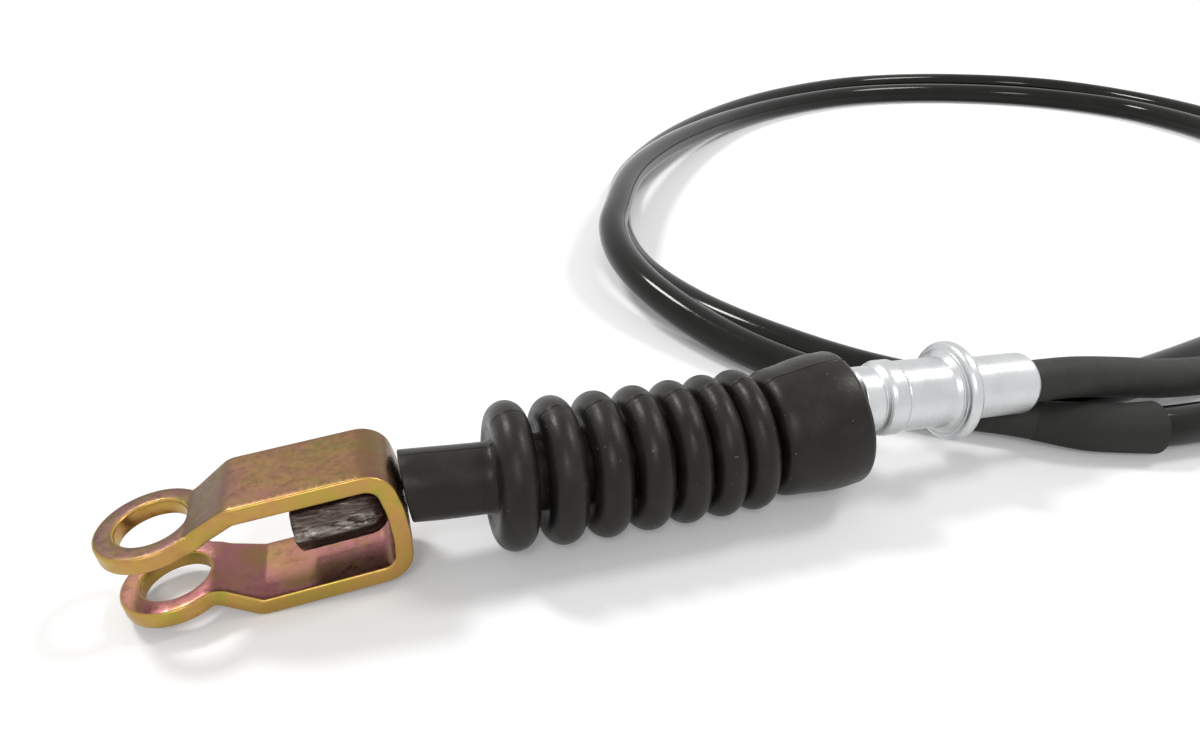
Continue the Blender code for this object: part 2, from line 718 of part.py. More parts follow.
def make_adjuster(looks):
    """Two nuts with a washer each, which clamp a bracket's plate between them."""
    bore = SHANK_RADIUS + FIT
    place = REAR_COLLAR + NUT_PLACE
    make_nut("inner_nut", place, looks)
    place += NUT_THICKNESS + FIT
    for name in ("inner_lock_washer", "outer_lock_washer"):
        turned(name, ring_outline(place, place + WASHER_THICKNESS, bore, WASHER_RADIUS), looks["bright"],
               axis=rear_axis)
        place += WASHER_THICKNESS + FIT
    make_nut("outer_nut", place, looks)


def make_rear_end(looks):
    shank_end = REAR_COLLAR + SHANK_LENGTH
    start = shank_end - CAP_OVERLAP
    end = start + CAP_LENGTH
    seat = SHANK_RADIUS + FIT
    outer = seat + CAP_WALL
    hole = WIRE_RADIUS + FIT
    outline = [
        (start, seat), (start, outer), (shank_end + FIT, outer), (end, outer * 0.62), (end, hole),
        (shank_end + FIT, hole), (shank_end + FIT, seat),
    ]
    turned("rear_seal", outline, looks["rubber"], axis=rear_axis, steps=24)
    head = end + REAR_WIRE_OUT
    wire_start = rear_axis(shank_end - REAR_WIRE_IN)[0]
    wire_end = rear_axis(head + REAR_HEAD_GRIP - FIT)[0]
    tube("rear_wire", even_steps([wire_start, wire_end], 5 * WIRE_RADIUS), WIRE_RADIUS, looks["wire"], 2)
    head_end = head + REAR_HEAD_LENGTH
    bevel = 0.5 * MM
    outline = [
        (head, hole), (head, REAR_HEAD_RADIUS - bevel), (head + bevel, REAR_HEAD_RADIUS),
        (head_end - bevel, REAR_HEAD_RADIUS), (head_end, REAR_HEAD_RADIUS - bevel), (head_end, 0.0),
        (head + REAR_HEAD_GRIP, 0.0), (head + REAR_HEAD_GRIP, hole),
    ]
    turned("rear_terminal", outline, looks["steel"], axis=rear_axis, steps=FINE_STEPS)


def main():
    clear_scene()
    looks = make_materials()
    make_clevis(looks)
    make_terminal(looks)
    make_inner_wire(looks)
    make_boot(looks)
    make_front_ferrule(looks)
    make_ferrule_inside(looks)
    make_casing(looks)
    make_sleeve(looks)
    make_rear_ferrule(looks)
    make_adjuster(looks)
    make_rear_end(looks)


main()
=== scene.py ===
"""The looks of the throttle cable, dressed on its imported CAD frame."""

from math import asin, atan, cos, degrees, pi, radians, sin, sqrt, tan

import bmesh
import bpy
import numpy as np
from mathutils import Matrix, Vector, geometry, noise


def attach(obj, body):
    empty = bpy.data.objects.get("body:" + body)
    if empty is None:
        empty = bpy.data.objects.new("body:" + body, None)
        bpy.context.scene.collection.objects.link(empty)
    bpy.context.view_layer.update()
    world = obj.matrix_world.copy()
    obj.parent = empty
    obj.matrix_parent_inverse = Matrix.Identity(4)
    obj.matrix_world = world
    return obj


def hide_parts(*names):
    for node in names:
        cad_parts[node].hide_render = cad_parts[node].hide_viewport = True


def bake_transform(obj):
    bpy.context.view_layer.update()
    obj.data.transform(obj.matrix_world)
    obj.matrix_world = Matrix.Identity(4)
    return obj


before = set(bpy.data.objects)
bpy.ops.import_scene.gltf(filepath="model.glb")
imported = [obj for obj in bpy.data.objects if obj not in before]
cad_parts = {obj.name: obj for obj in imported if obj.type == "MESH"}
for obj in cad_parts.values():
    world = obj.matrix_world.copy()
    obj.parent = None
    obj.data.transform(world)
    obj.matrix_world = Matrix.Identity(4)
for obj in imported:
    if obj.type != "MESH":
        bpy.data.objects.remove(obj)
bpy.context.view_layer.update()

MM = 0.001
FIT = 0.3

# Sizes in millimetres, as in the part's own source
STRIP = 2.35
STRIP_WIDTH = 11.3
STRIP_RIM = 0.34
ARM_GAP = 12.2
EYE_GAP = 6.4
EYE_RADIUS = 6.6
PIN_HOLE = 4.15
WAIST_WIDTH = 9.4
CLEVIS_LENGTH = 29.5
JOGGLE_START = 4.6
JOGGLE_END = 9.8
FOLD_RADIUS = 2.9
JOGGLE_RADIUS = 1.8
WEB_BOW = 0.8
WEB_HOLE = 2.2
CLEVIS_PITCH = radians(5.5)
EYE_HEIGHT = 7.5
EYE_X = -58.495

HEAD_RADIUS = 3.6
HEAD_LENGTH = 11.4
HEAD_TAPER = 2.3
HEAD_FLAT = 0.9
GOUGE_DEGREES = 277
GOUGE_HALF_WIDTH = 17.0
GOUGE_DEPTH = 0.3
WIRE_RADIUS = 1.0

BOOT_WALL = 1.3
NOSE_RADIUS = 4.8
NOSE_BORE = 3.0
NOSE_ROUND = 0.9
NOSE_LIP = 0.48
NOSE_HEIGHT = 12.0
FIRST_RING = 13.1
RINGS = 7
RING_RADIUS = 10.1
FIRST_PITCH = 6.4
LAST_PITCH = 4.8
RING_HALF_WIDTH = 2.6
RING_SPACE = 0.35
ROOT_RADIUS = 5.2
CUFF_LENGTH = 13.2
CUFF_RADIUS = 9.9
CUFF_BORE = 8.0
CUFF_ROUND = 1.2
SAG_STATION = 68.0
CUFF_HEIGHT = 11.4
SEAM_SIDES = (-0.42, -0.2, -0.09, 0.09, 0.2, 0.42)
SEAM_LIFTS = (0.0, 0.05, -0.17, -0.17, 0.01, -0.02)

FLANGE_STATION = 109.0
FLANGE_HEIGHT = 12.8
FERRULE_PITCH = radians(3.5)
FERRULE_NOSE = 20.0
NOSE_PILOT = 4.0
PILOT_RADIUS = 4.1
BARREL_RADIUS = 4.9
BEAD_RADIUS = 5.6
BEAD_START = 11.9
BEAD_END = 8.7
NECK_RADIUS = 5.25
FLANGE_RADIUS = 7.5
FLANGE_WIDTH = 2.2
FLANGE_ROUND = 0.9
CRIMP_RADIUS = 4.75
CRIMP_LENGTH = 12.7
CRIMP_ROUND = 1.2
FERRULE_BORE = 2.0
SEAL_SEAT = 3.2
SEAL_DEPTH = 3.0

CASING_RADIUS = 3.3
CASING_LEAD = 8.0
CASING_LENGTH = 1490.0
SLEEVE_WALL = 0.4
SLEEVE_LENGTH = 18.0
SLEEVE_END = 43.5

REAR_COLLAR = 14.0
SHANK_LENGTH = 38.0
SHANK_END = REAR_COLLAR + SHANK_LENGTH
SHANK_RADIUS = 3.9
THREAD_PITCH = 1.0
THREAD_DEPTH = 0.55
NUT_WIDTH = 13.0
NUT_THICKNESS = 6.4
NUT_PLACE = 10.0
WASHER_RADIUS = 6.4
WASHER_THICKNESS = 0.9
CAP_OVERLAP = 6.0
CAP_LENGTH = 10.0
CAP_WALL = 1.2
REAR_WIRE_OUT = 24.0
REAR_HEAD_RADIUS = 3.2
REAR_HEAD_LENGTH = 9.0
REAR_HEAD_GRIP = 6.0
CAP_START = SHANK_END - CAP_OVERLAP
CAP_END = CAP_START + CAP_LENGTH
REAR_HEAD_START = CAP_END + REAR_WIRE_OUT
REAR_WIRE_HOLE = WIRE_RADIUS + FIT

EYE = Vector((EYE_X, 0.0, EYE_HEIGHT))
CABLE_DIRECTION = Vector((cos(CLEVIS_PITCH), 0.0, sin(CLEVIS_PITCH)))
CABLE_UP = Vector((-sin(CLEVIS_PITCH), 0.0, cos(CLEVIS_PITCH)))
FLANGE = Vector((EYE_X + FLANGE_STATION, 0.0, FLANGE_HEIGHT))
FERRULE_DIRECTION = Vector((cos(FERRULE_PITCH), 0.0, -sin(FERRULE_PITCH)))
FERRULE_REAR = FLANGE_WIDTH + CRIMP_LENGTH

# The casing's route, as in the part's source
ROUTE = [
    (85, 0.2, 9.5), (94, 0.5, 7.6), (104, 1.2, 6.1), (114, 1.8, 5.0), (125, 2.6, 4.1),
    (139, 4.4, 3.5), (161, 9.5, 3.5), (211, 37, 3.5), (249, 84, 3.5), (268, 138, 3.5), (266, 174, 3.5),
    (251, 206, 3.5), (217, 228, 3.5), (178, 234.5, 3.5), (135.5, 223, 3.5), (92, 195, 3.5), (61, 163, 3.5),
    (44.5, 138, 3.5), (35.5, 115, 3.5), (30.3, 95, 3.5), (29.3, 76, 3.5), (33.7, 56, 3.5), (43, 37, 3.5),
    (54, 22, 3.5), (63, 14, 3.5), (73, 8.6, 3.5), (80, 6.3, 3.5), (86.5, 5.6, 3.5), (94, 6.3, 3.5),
    (104, 8.0, 3.5), (114, 10, 3.5),
    (136, 15.5, 3.5), (161, 24.5, 3.5), (201, 50, 3.5), (236, 90, 3.5), (255, 141, 3.5), (251, 169, 3.5),
    (234, 193, 3.5), (204, 211, 3.5), (168, 217.5, 3.5), (128, 208, 3.5), (105, 195, 4.1),
    (82, 175, 5.9), (57, 146, 8.6), (41, 121.5, 10.3), (31, 100.5, 10.5), (25.4, 86.5, 10.0),
    (23.6, 74, 8.8), (24.7, 62, 7.3), (28.3, 50.5, 5.7), (33.3, 39.5, 4.4), (39.2, 29.3, 3.8),
    (46.5, 19, 3.8), (54.5, 11, 3.8), (62, 5.6, 3.9), (67, 2.2, 4.1), (72.4, -1.6, 4.1),
    (79, -4.9, 4.1), (86.7, -7.1, 4.1), (96, -7.9, 4.0), (106, -8.6, 4.1), (114, -9.9, 5.1),
]
REAR_FACE = Vector((129.8, -11.0, 6.7))

# The floor's glow near its middle and far off, and the metres from the middle between which it grows
FLOOR_GLOW = (0.16, 0.62)
GLOW_METRES = (0.4, 1.3)


# Node helpers

def node(tree, kind, inputs=None, **settings):
    """A shader node with its settings, and values or links on its sockets."""
    made = tree.nodes.new("ShaderNode" + kind)
    for key, value in settings.items():
        setattr(made, key, value)
    for key, value in (inputs or {}).items():
        if isinstance(value, bpy.types.NodeSocket):
            tree.links.new(value, made.inputs[key])
        else:
            made.inputs[key].default_value = value
    return made


def place_mm(tree, stored):
    """Millimetres on the piece: the stored rest_mm attribute if asked for, else object coordinates."""
    if stored:
        return node(tree, "Attribute", attribute_name="rest_mm").outputs["Vector"]
    place = node(tree, "TexCoord").outputs["Object"]
    grown = node(tree, "VectorMath", {0: place, "Scale": 1 / MM}, operation="SCALE")
    return grown.outputs["Vector"]


def new_material(name, stored=False, **values):
    """A material with plain values set on its shader, its tree, and the place on the piece."""
    made = bpy.data.materials.new(name)
    made.use_nodes = True
    tree = made.node_tree
    shader = tree.nodes["Principled BSDF"]
    for key, value in values.items():
        shader.inputs[key.replace("_", " ")].default_value = value
    return made, tree, place_mm(tree, stored)


def stored_value(tree, name):
    return node(tree, "Attribute", attribute_name=name).outputs["Fac"]


def grain(tree, place, scale, detail=3.0, roughness=0.5, distortion=0.0):
    inputs = {"Vector": place, "Scale": scale, "Detail": detail, "Roughness": roughness,
              "Distortion": distortion}
    return node(tree, "TexNoise", inputs).outputs["Fac"]


def line_grain(tree, value, scale, detail=2.0):
    """Noise that varies along one stored value only, such as turning marks."""
    inputs = {"W": value, "Scale": scale, "Detail": detail}
    return node(tree, "TexNoise", inputs, noise_dimensions="1D").outputs["Fac"]


def ramp(tree, value, stops):
    made = node(tree, "ValToRGB", {"Fac": value})
    band = made.color_ramp
    while len(band.elements) < len(stops):
        band.elements.new(0.5)
    for element, (place, colour) in zip(band.elements, stops):
        element.position = place
        element.color = (*colour, 1.0)
    return made.outputs["Color"]


def scaled(tree, value, low, high, from_low=0.0, from_high=1.0):
    inputs = {"Value": value, "From Min": from_low, "From Max": from_high, "To Min": low, "To Max": high}
    return node(tree, "MapRange", inputs).outputs["Result"]


def mixed(tree, share, first, second):
    made = node(tree, "Mix", data_type="RGBA")
    for socket, value in zip((made.inputs[0], made.inputs[6], made.inputs[7]), (share, first, second)):
        if isinstance(value, bpy.types.NodeSocket):
            tree.links.new(value, socket)
        else:
            socket.default_value = (*value, 1.0) if isinstance(value, tuple) else value
    return made.outputs[2]


def between(tree, cloud, first, second):
    """Two colours mixed by the middle range of a noise."""
    return mixed(tree, scaled(tree, cloud, 0.0, 1.0, 0.3, 0.7), first, second)


def maths(tree, operation, first, second=0.0):
    return node(tree, "Math", {0: first, 1: second}, operation=operation).outputs[0]


def seen_rays(tree):
    """One for camera, glossy and transmission rays, else zero."""
    rays = node(tree, "LightPath").outputs
    seen = maths(tree, "MAXIMUM", rays["Is Camera Ray"], rays["Is Glossy Ray"])
    return maths(tree, "MAXIMUM", seen, rays["Is Transmission Ray"])


def finish_material(made, colour, rough, layers):
    """Link colour, roughness and bump layers of (height, strength, distance in mm) to the shader."""
    tree = made.node_tree
    shader = tree.nodes["Principled BSDF"]
    tree.links.new(colour, shader.inputs["Base Color"])
    tree.links.new(rough, shader.inputs["Roughness"])
    normal = None
    for height, strength, distance in layers:
        inputs = {"Height": height, "Strength": strength, "Distance": distance * MM}
        if normal is not None:
            inputs["Normal"] = normal
        normal = node(tree, "Bump", inputs).outputs["Normal"]
    tree.links.new(normal, shader.inputs["Normal"])
    return made


# Materials

def plated_material():
    made, tree, place = new_material("yellow_zinc_plate", Metallic=1.0)
    broad = grain(tree, place, 0.16, 2.0, 0.55, 0.6)
    face = ramp(tree, broad, [
        (0.3, (0.185, 0.086, 0.066)), (0.44, (0.192, 0.1, 0.056)), (0.54, (0.196, 0.112, 0.048)),
        (0.64, (0.176, 0.118, 0.042)), (0.76, (0.15, 0.124, 0.04))])
    inner = ramp(tree, broad, [
        (0.3, (0.25, 0.092, 0.092)), (0.48, (0.265, 0.112, 0.108)), (0.6, (0.235, 0.118, 0.066)),
        (0.75, (0.215, 0.145, 0.054))])
    dim = ramp(tree, grain(tree, place, 0.3, 2.0, 0.5, 0.5), [
        (0.34, (0.12, 0.062, 0.058)), (0.5, (0.128, 0.08, 0.042)), (0.66, (0.11, 0.098, 0.036))])
    place_x = node(tree, "SeparateXYZ", {0: place}).outputs["X"]
    near_eye = scaled(tree, place_x, 0.85, 0.0, EYE_X + 2.0, EYE_X + 11.0)
    face = mixed(tree, near_eye, face, dim)
    edge = ramp(tree, grain(tree, place, 0.22, 2.0, 0.6, 0.4), [
        (0.32, (0.44, 0.225, 0.09)), (0.46, (0.455, 0.27, 0.078)), (0.58, (0.43, 0.285, 0.066)),
        (0.7, (0.36, 0.3, 0.058))])
    colour = mixed(tree, stored_value(tree, "inner"), face, inner)
    colour = mixed(tree, stored_value(tree, "rim"), colour, edge)
    speck = grain(tree, place, 3.5, 4.0, 0.6)
    worn = maths(tree, "GREATER_THAN", speck, 0.7)
    colour = mixed(tree, maths(tree, "MULTIPLY", worn, 0.25), colour, (0.46, 0.38, 0.28))
    pit = scaled(tree, grain(tree, place, 2.4, 3.0, 0.6), 0.0, 0.16, 0.665, 0.72)
    colour = mixed(tree, pit, colour, (0.06, 0.034, 0.024))
    rough = scaled(tree, grain(tree, place, 0.9, 4.0, 0.65), 0.24, 0.46, 0.3, 0.7)
    fine = grain(tree, place, 6.0, 3.0, 0.6)
    layers = [(grain(tree, place, 0.8, 2.0), 0.25, 0.1), (fine, 0.22, 0.03)]
    return finish_material(made, colour, rough, layers)


def crimp_material():
    made, tree, place = new_material("crimped_steel", Metallic=0.9)
    stretch = {0: place, 1: (0.35, 1.6, 1.6)}
    streaks = node(tree, "VectorMath", stretch, operation="MULTIPLY").outputs[0]
    tone = grain(tree, streaks, 1.1, 4.0, 0.65, 0.8)
    colour = ramp(tree, tone, [
        (0.34, (0.03, 0.02, 0.018)), (0.48, (0.075, 0.054, 0.046)), (0.6, (0.12, 0.1, 0.09)),
        (0.74, (0.42, 0.39, 0.36))])
    scraped = maths(tree, "MULTIPLY", stored_value(tree, "gouge"), scaled(tree, tone, 0.0, 1.0, 0.4, 0.62))
    colour = mixed(tree, scraped, colour, (0.3, 0.265, 0.235))
    rough = scaled(tree, tone, 0.5, 0.26, 0.35, 0.7)
    layers = [(tone, 0.6, 0.12), (grain(tree, place, 7.0, 3.0), 0.3, 0.03)]
    return finish_material(made, colour, rough, layers)


def bright_material(name, tone, roughness, lines):
    """Turned metal, with marks that follow the stored place along its axis."""
    made, tree, place = new_material(name, Metallic=1.0)
    marks = line_grain(tree, stored_value(tree, "along"), 7.5, 3.0)
    cloud = grain(tree, place, 0.22, 2.0, 0.5)
    light = tuple(min(1.0, channel * 1.05) for channel in tone)
    dark = tuple(channel * 0.94 for channel in tone)
    colour = between(tree, cloud, dark, light)
    rough = scaled(tree, maths(tree, "ADD", marks, cloud), roughness * 0.85, roughness * 1.2, 0.7, 1.3)
    layers = [(marks, lines, 0.05), (grain(tree, place, 4.0, 3.0), 0.05, 0.02)]
    return finish_material(made, colour, rough, layers)


def rubber_material(name, stored):
    tint = (1.0, 0.965, 0.9, 1.0)
    made, tree, place = new_material(name, stored, Specular_IOR_Level=0.27, Specular_Tint=tint)
    cloud = grain(tree, place, 0.22, 4.0, 0.6)
    colour = ramp(tree, cloud, [
        (0.3, (0.0062, 0.0056, 0.0048)), (0.52, (0.0098, 0.0088, 0.0074)),
        (0.72, (0.018, 0.016, 0.0132))])
    dust = grain(tree, place, 1.9, 1.0, 0.4)
    specks = scaled(tree, dust, 0.0, 0.8, 0.775, 0.8)
    colour = mixed(tree, specks, colour, (0.16, 0.15, 0.135))
    fine = grain(tree, place, 2.6, 4.0, 0.7)
    rough = scaled(tree, maths(tree, "ADD", cloud, fine), 0.28, 0.46, 0.75, 1.25)
    pores = grain(tree, place, 9.0, 2.0)
    layers = [(cloud, 0.14, 0.25), (fine, 0.34, 0.07), (pores, 0.3, 0.02)]
    return finish_material(made, colour, rough, layers)


def jacket_material():
    """Glossy black plastic, matte and faintly ribbed at the front ferrule and matte before the sleeve."""
    tint = (1.0, 0.98, 0.93, 1.0)
    made, tree, place = new_material("casing_jacket", Specular_IOR_Level=0.22, Specular_Tint=tint)
    along = stored_value(tree, "along")
    front_matte = scaled(tree, along, 1.0, 0.0, 95.0, 135.0)
    cut = CASING_LENGTH - SLEEVE_END
    start = cut - SLEEVE_LENGTH
    before_sleeve = scaled(tree, along, 0.0, 1.0, start - 30.0, start - 20.0)
    until_cut = scaled(tree, along, 1.0, 0.0, cut - 3.0, cut - 1.0)
    matte = maths(tree, "MAXIMUM", front_matte, maths(tree, "MULTIPLY", before_sleeve, until_cut))
    cloud = grain(tree, place, 0.25, 3.0, 0.55)
    glossy = between(tree, cloud, (0.0045, 0.0044, 0.0042), (0.0085, 0.0082, 0.0078))
    dull = between(tree, cloud, (0.026, 0.026, 0.023), (0.036, 0.036, 0.032))
    scuffs = scaled(tree, grain(tree, place, 0.9, 4.0, 0.65), 0.0, 0.07, 0.42, 0.72)
    rough = maths(tree, "ADD", scaled(tree, matte, 0.09, 0.58), scuffs)
    ribs = maths(tree, "SINE", maths(tree, "MULTIPLY", along, 2 * pi / 0.9))
    ribs = maths(tree, "MULTIPLY", ribs, front_matte)
    layers = [(ribs, 0.1, 0.05), (grain(tree, place, 5.0, 3.0), 0.06, 0.02)]
    return finish_material(made, mixed(tree, matte, glossy, dull), rough, layers)


def sleeve_material():
    made, tree, place = new_material("matte_sleeve_plastic", Specular_IOR_Level=0.22)
    cloud = grain(tree, place, 0.5, 4.0, 0.6)
    colour = between(tree, cloud, (0.024, 0.0235, 0.022), (0.034, 0.033, 0.03))
    rough = scaled(tree, cloud, 0.66, 0.84, 0.3, 0.7)
    return finish_material(made, colour, rough, [(grain(tree, place, 5.0, 3.0), 0.25, 0.03)])


def strand_material():
    made, tree, place = new_material("strand_steel", Metallic=1.0)
    tone = grain(tree, place, 1.4, 3.0, 0.6)
    colour = mixed(tree, tone, (0.34, 0.34, 0.35), (0.62, 0.62, 0.63))
    rough = scaled(tree, tone, 0.22, 0.42, 0.3, 0.7)
    return finish_material(made, colour, rough, [(grain(tree, place, 6.0, 2.0), 0.2, 0.02)])


def liner_material():
    made, tree, place = new_material("white_liner_plastic")
    tone = grain(tree, place, 0.8, 3.0, 0.6)
    colour = mixed(tree, tone, (0.7, 0.7, 0.66), (0.82, 0.82, 0.79))
    rough = scaled(tree, tone, 0.32, 0.48, 0.3, 0.7)
    return finish_material(made, colour, rough, [(grain(tree, place, 5.0, 2.0), 0.1, 0.02)])


# Mesh helpers

def linked(name, data):
    """A new object in the scene."""
    made = bpy.data.objects.new(name, data)
    bpy.context.scene.collection.objects.link(made)
    return made


def finish_piece(name, points, faces, look, sharp=40.0, **values):
    """A mesh piece from points in mm: smooth below the sharp angle, with values stored on its points."""
    mesh = bpy.data.meshes.new(name)
    mesh.from_pydata([tuple(Vector(point) * MM) for point in points], [], faces)
    shape = bmesh.new()
    shape.from_mesh(mesh)
    bmesh.ops.recalc_face_normals(shape, faces=shape.faces)
    shape.to_mesh(mesh)
    shape.free()
    for key, numbers in values.items():
        mesh.attributes.new(key, "FLOAT", "POINT").data.foreach_set("value", np.array(numbers, np.float32))
    mesh.shade_smooth()
    mesh.set_sharp_from_angle(angle=radians(sharp))
    mesh.materials.append(look)
    return linked(name, mesh)


def stands_for(piece, cad_node, body="casing"):
    """The piece, riding a body in place of a CAD node, which is hidden."""
    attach(piece, body)
    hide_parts(cad_node)
    return piece


def ring_faces(first, second, count):
    """Faces between two rings of points that start at two numbers."""
    faces = []
    for step in range(count):
        after = (step + 1) % count
        faces.append((first + step, first + after, second + after, second + step))
    return faces


def skinned(name, rings, look, closed=False, caps=False, sharp=40.0, **values):
    """A mesh piece through equal rings of points."""
    count = len(rings[0])
    points = [point for ring in rings for point in ring]
    faces = []
    for index in range(len(rings) - 1):
        faces += ring_faces(index * count, (index + 1) * count, count)
    if closed:
        faces += ring_faces((len(rings) - 1) * count, 0, count)
    if caps:
        faces.append(tuple(range(count)))
        faces.append(tuple(range((len(rings) - 1) * count, len(rings) * count)))
    return finish_piece(name, points, faces, look, sharp, **values)


def turns(steps):
    """Even angles round a ring."""
    return [2 * pi * step / steps for step in range(steps)]


def off_flat(turn):
    """How far a turn is from the middle of a hexagon's nearest flat."""
    sector = radians(60)
    return abs((turn + sector / 2) % sector - sector / 2)


def on_ring(centre, lean, radius, turn):
    up = Vector((-sin(lean), 0.0, cos(lean)))
    side = Vector((0.0, 1.0, 0.0))
    return centre + radius * (cos(turn) * up + sin(turn) * side)


def softened(outline, radius, steps=3):
    """A closed outline whose corners are rounded, each within its own sides."""
    soft = []
    count = len(outline)
    for index in range(count):
        corner = Vector(outline[index])
        back = Vector(outline[index - 1]) - corner
        ahead = Vector(outline[(index + 1) % count]) - corner
        angle = back.angle(ahead)
        if angle > radians(162):
            soft.append(corner)
            continue
        reach = min(radius / tan(angle / 2), 0.42 * min(back.length, ahead.length))
        start = corner + back.normalized() * reach
        end = corner + ahead.normalized() * reach
        for step in range(steps + 1):
            share = step / steps
            soft.append(start * (1 - share) ** 2 + corner * 2 * share * (1 - share) + end * share ** 2)
    return soft


def lathed(name, outline, look, axis, steps=96, flat=None, sharp=40.0):
    """Turn a closed outline of (place, radius) points about an axis in the XZ plane."""
    rings = []
    along = []
    for place, radius in outline:
        centre, lean = axis(place)
        rings.append([on_ring(centre, lean, radius * (flat(turn) if flat else 1.0), turn)
                      for turn in turns(steps)])
        along += [place + 0.35 * radius] * steps
    return skinned(name, rings, look, closed=True, sharp=sharp, along=along)


def arc(centre, radius, start_degrees, end_degrees, steps):
    points = []
    for step in range(steps + 1):
        turn = radians(start_degrees + (end_degrees - start_degrees) * step / steps)
        points.append((centre[0] + radius * cos(turn), centre[1] + radius * sin(turn)))
    return points


def rounded(points, radii, steps=10):
    """Round the inner corners of a flat path with arcs."""
    path = [Vector(points[0])]
    for before, corner, after, radius in zip(points, points[1:], points[2:], radii):
        corner = Vector(corner)
        back = (Vector(before) - corner).normalized()
        ahead = (Vector(after) - corner).normalized()
        half = back.angle(ahead) / 2
        centre = corner + (back + ahead).normalized() * (radius / sin(half))
        start = corner + back * (radius / tan(half)) - centre
        end = corner + ahead * (radius / tan(half)) - centre
        sweep = start.angle(end)
        turn_sign = 1.0 if start.x * end.y - start.y * end.x > 0 else -1.0
        for step in range(steps + 1):
            turn = turn_sign * sweep * step / steps
            path.append(centre + Vector((start.x * cos(turn) - start.y * sin(turn),
                                         start.x * sin(turn) + start.y * cos(turn))))
    path.append(Vector(points[-1]))
    return path


def walked(path):
    """Lengths from the start of a path to each of its points."""
    lengths = [0.0]
    for first, second in zip(path, path[1:]):
        lengths.append(lengths[-1] + (Vector(second) - Vector(first)).length)
    return lengths


def at_lengths(path, wanted):
    """Points of a path at wanted lengths from its start."""
    lengths = walked(path)
    columns = np.array([tuple(point) for point in path]).T
    return np.stack([np.interp(wanted, lengths, column) for column in columns], axis=1)


def resampled(path, step):
    """The path at even steps, its two ends kept."""
    length = walked(path)[-1]
    count = max(2, round(length / step))
    return at_lengths(path, np.linspace(0.0, length, count + 1))


# Casing

def tangent(before, here, after, back_span, next_span, at_end):
    if at_end:
        return (after - before) / (after - before).length
    back = (here - before) / back_span
    ahead = (after - here) / next_span
    return (back * next_span + ahead * back_span) / (back_span + next_span)


def smooth_curve(route, parts=24):
    """The part's own smooth curve through a route's points."""
    dense = []
    count = len(route)
    for index in range(count - 1):
        before = route[max(index - 1, 0)]
        start = route[index]
        end = route[index + 1]
        after = route[min(index + 2, count - 1)]
        span = (end - start).length
        back_span = max((start - before).length, span * 0.01)
        next_span = max((after - end).length, span * 0.01)
        leave = tangent(before, start, end, back_span, span, index == 0) * span
        arrive = tangent(start, end, after, span, next_span, index == count - 2) * span
        for part in range(parts):
            share = part / parts
            square = share * share
            cube = square * share
            dense.append((2 * cube - 3 * square + 1) * start + (cube - 2 * square + share) * leave
                         + (3 * square - 2 * cube) * end + (cube - square) * arrive)
    dense.append(route[-1])
    return dense


def casing_line():
    start = FLANGE + FERRULE_DIRECTION * (FERRULE_REAR + FIT)
    end = REAR_FACE - Vector((FIT, 0.0, 0.0))
    route = [start, start + FERRULE_DIRECTION * CASING_LEAD]
    route += [Vector(point) for point in ROUTE]
    route += [end - Vector((CASING_LEAD, 0.0, 0.0)), end]
    return [Vector(point) for point in resampled(smooth_curve(route), 2.0)]


def tube_rings(line, radii, steps):
    """Rings square to a line that stays near level, first column up."""
    rings = []
    for index, centre in enumerate(line):
        along = (line[min(index + 1, len(line) - 1)] - line[max(index - 1, 0)]).normalized()
        side = along.cross(Vector((0.0, 0.0, 1.0))).normalized()
        up = side.cross(along)
        rings.append([centre + radii[index] * (cos(turn) * up + sin(turn) * side)
                      for turn in turns(steps)])
    return rings


def make_casing(look):
    line = casing_line()
    steps = 28
    rings = tube_rings(line, [CASING_RADIUS] * len(line), steps)
    along = np.repeat(walked(line), steps)
    casing = skinned("casing_jacket", rings, look, caps=True, along=along)
    stands_for(casing, "conduit")
    return casing, line


def make_sleeve(line, look):
    """A loose sleeve that thins down onto the casing at one end and opens at its cut end."""
    start = walked(line)[-1] - SLEEVE_END - SLEEVE_LENGTH
    steps = 27
    places = [start + SLEEVE_LENGTH * step / steps for step in range(steps + 1)]
    points = [Vector(point) for point in at_lengths(line, places)]
    outer_radii = []
    inner_radii = []
    for place in places:
        from_start = min(1.0, (place - start) / 9.0)
        thick = from_start * from_start * (3 - 2 * from_start)
        opened = 0.28 * max(0.0, (place - start - 10.0) / (SLEEVE_LENGTH - 10.0)) ** 2
        inner_radii.append(CASING_RADIUS + 0.02 + 0.23 * thick + opened)
        outer_radii.append(inner_radii[-1] + 0.04 + (SLEEVE_WALL - 0.04) * thick)
    outside = tube_rings(points, outer_radii, 40)
    inside = tube_rings(points, inner_radii, 40)
    sleeve = skinned("sleeve_matte", outside + inside[::-1], look, closed=True)
    return stands_for(sleeve, "conduit_sleeve")


# Clevis: a flat blank with rounded rims, folded along the strip's middle line

def clevis_path():
    eye_level = (EYE_GAP + STRIP) / 2
    arm_level = (ARM_GAP + STRIP) / 2
    web = CLEVIS_LENGTH - STRIP / 2
    half_bow = WEB_BOW / 2
    points = [
        (-2 * EYE_RADIUS, -eye_level), (JOGGLE_START, -eye_level), (JOGGLE_END, -arm_level),
        (web - WEB_BOW, -arm_level), (web - half_bow * 0.2, -arm_level * 0.3),
        (web - half_bow * 0.2, arm_level * 0.3), (web - WEB_BOW, arm_level), (JOGGLE_END, arm_level),
        (JOGGLE_START, eye_level), (-2 * EYE_RADIUS, eye_level),
    ]
    radii = [JOGGLE_RADIUS, JOGGLE_RADIUS, FOLD_RADIUS, 2 * FOLD_RADIUS, 2 * FOLD_RADIUS,
             FOLD_RADIUS, JOGGLE_RADIUS, JOGGLE_RADIUS]
    return resampled(rounded(points, radii), 0.1)


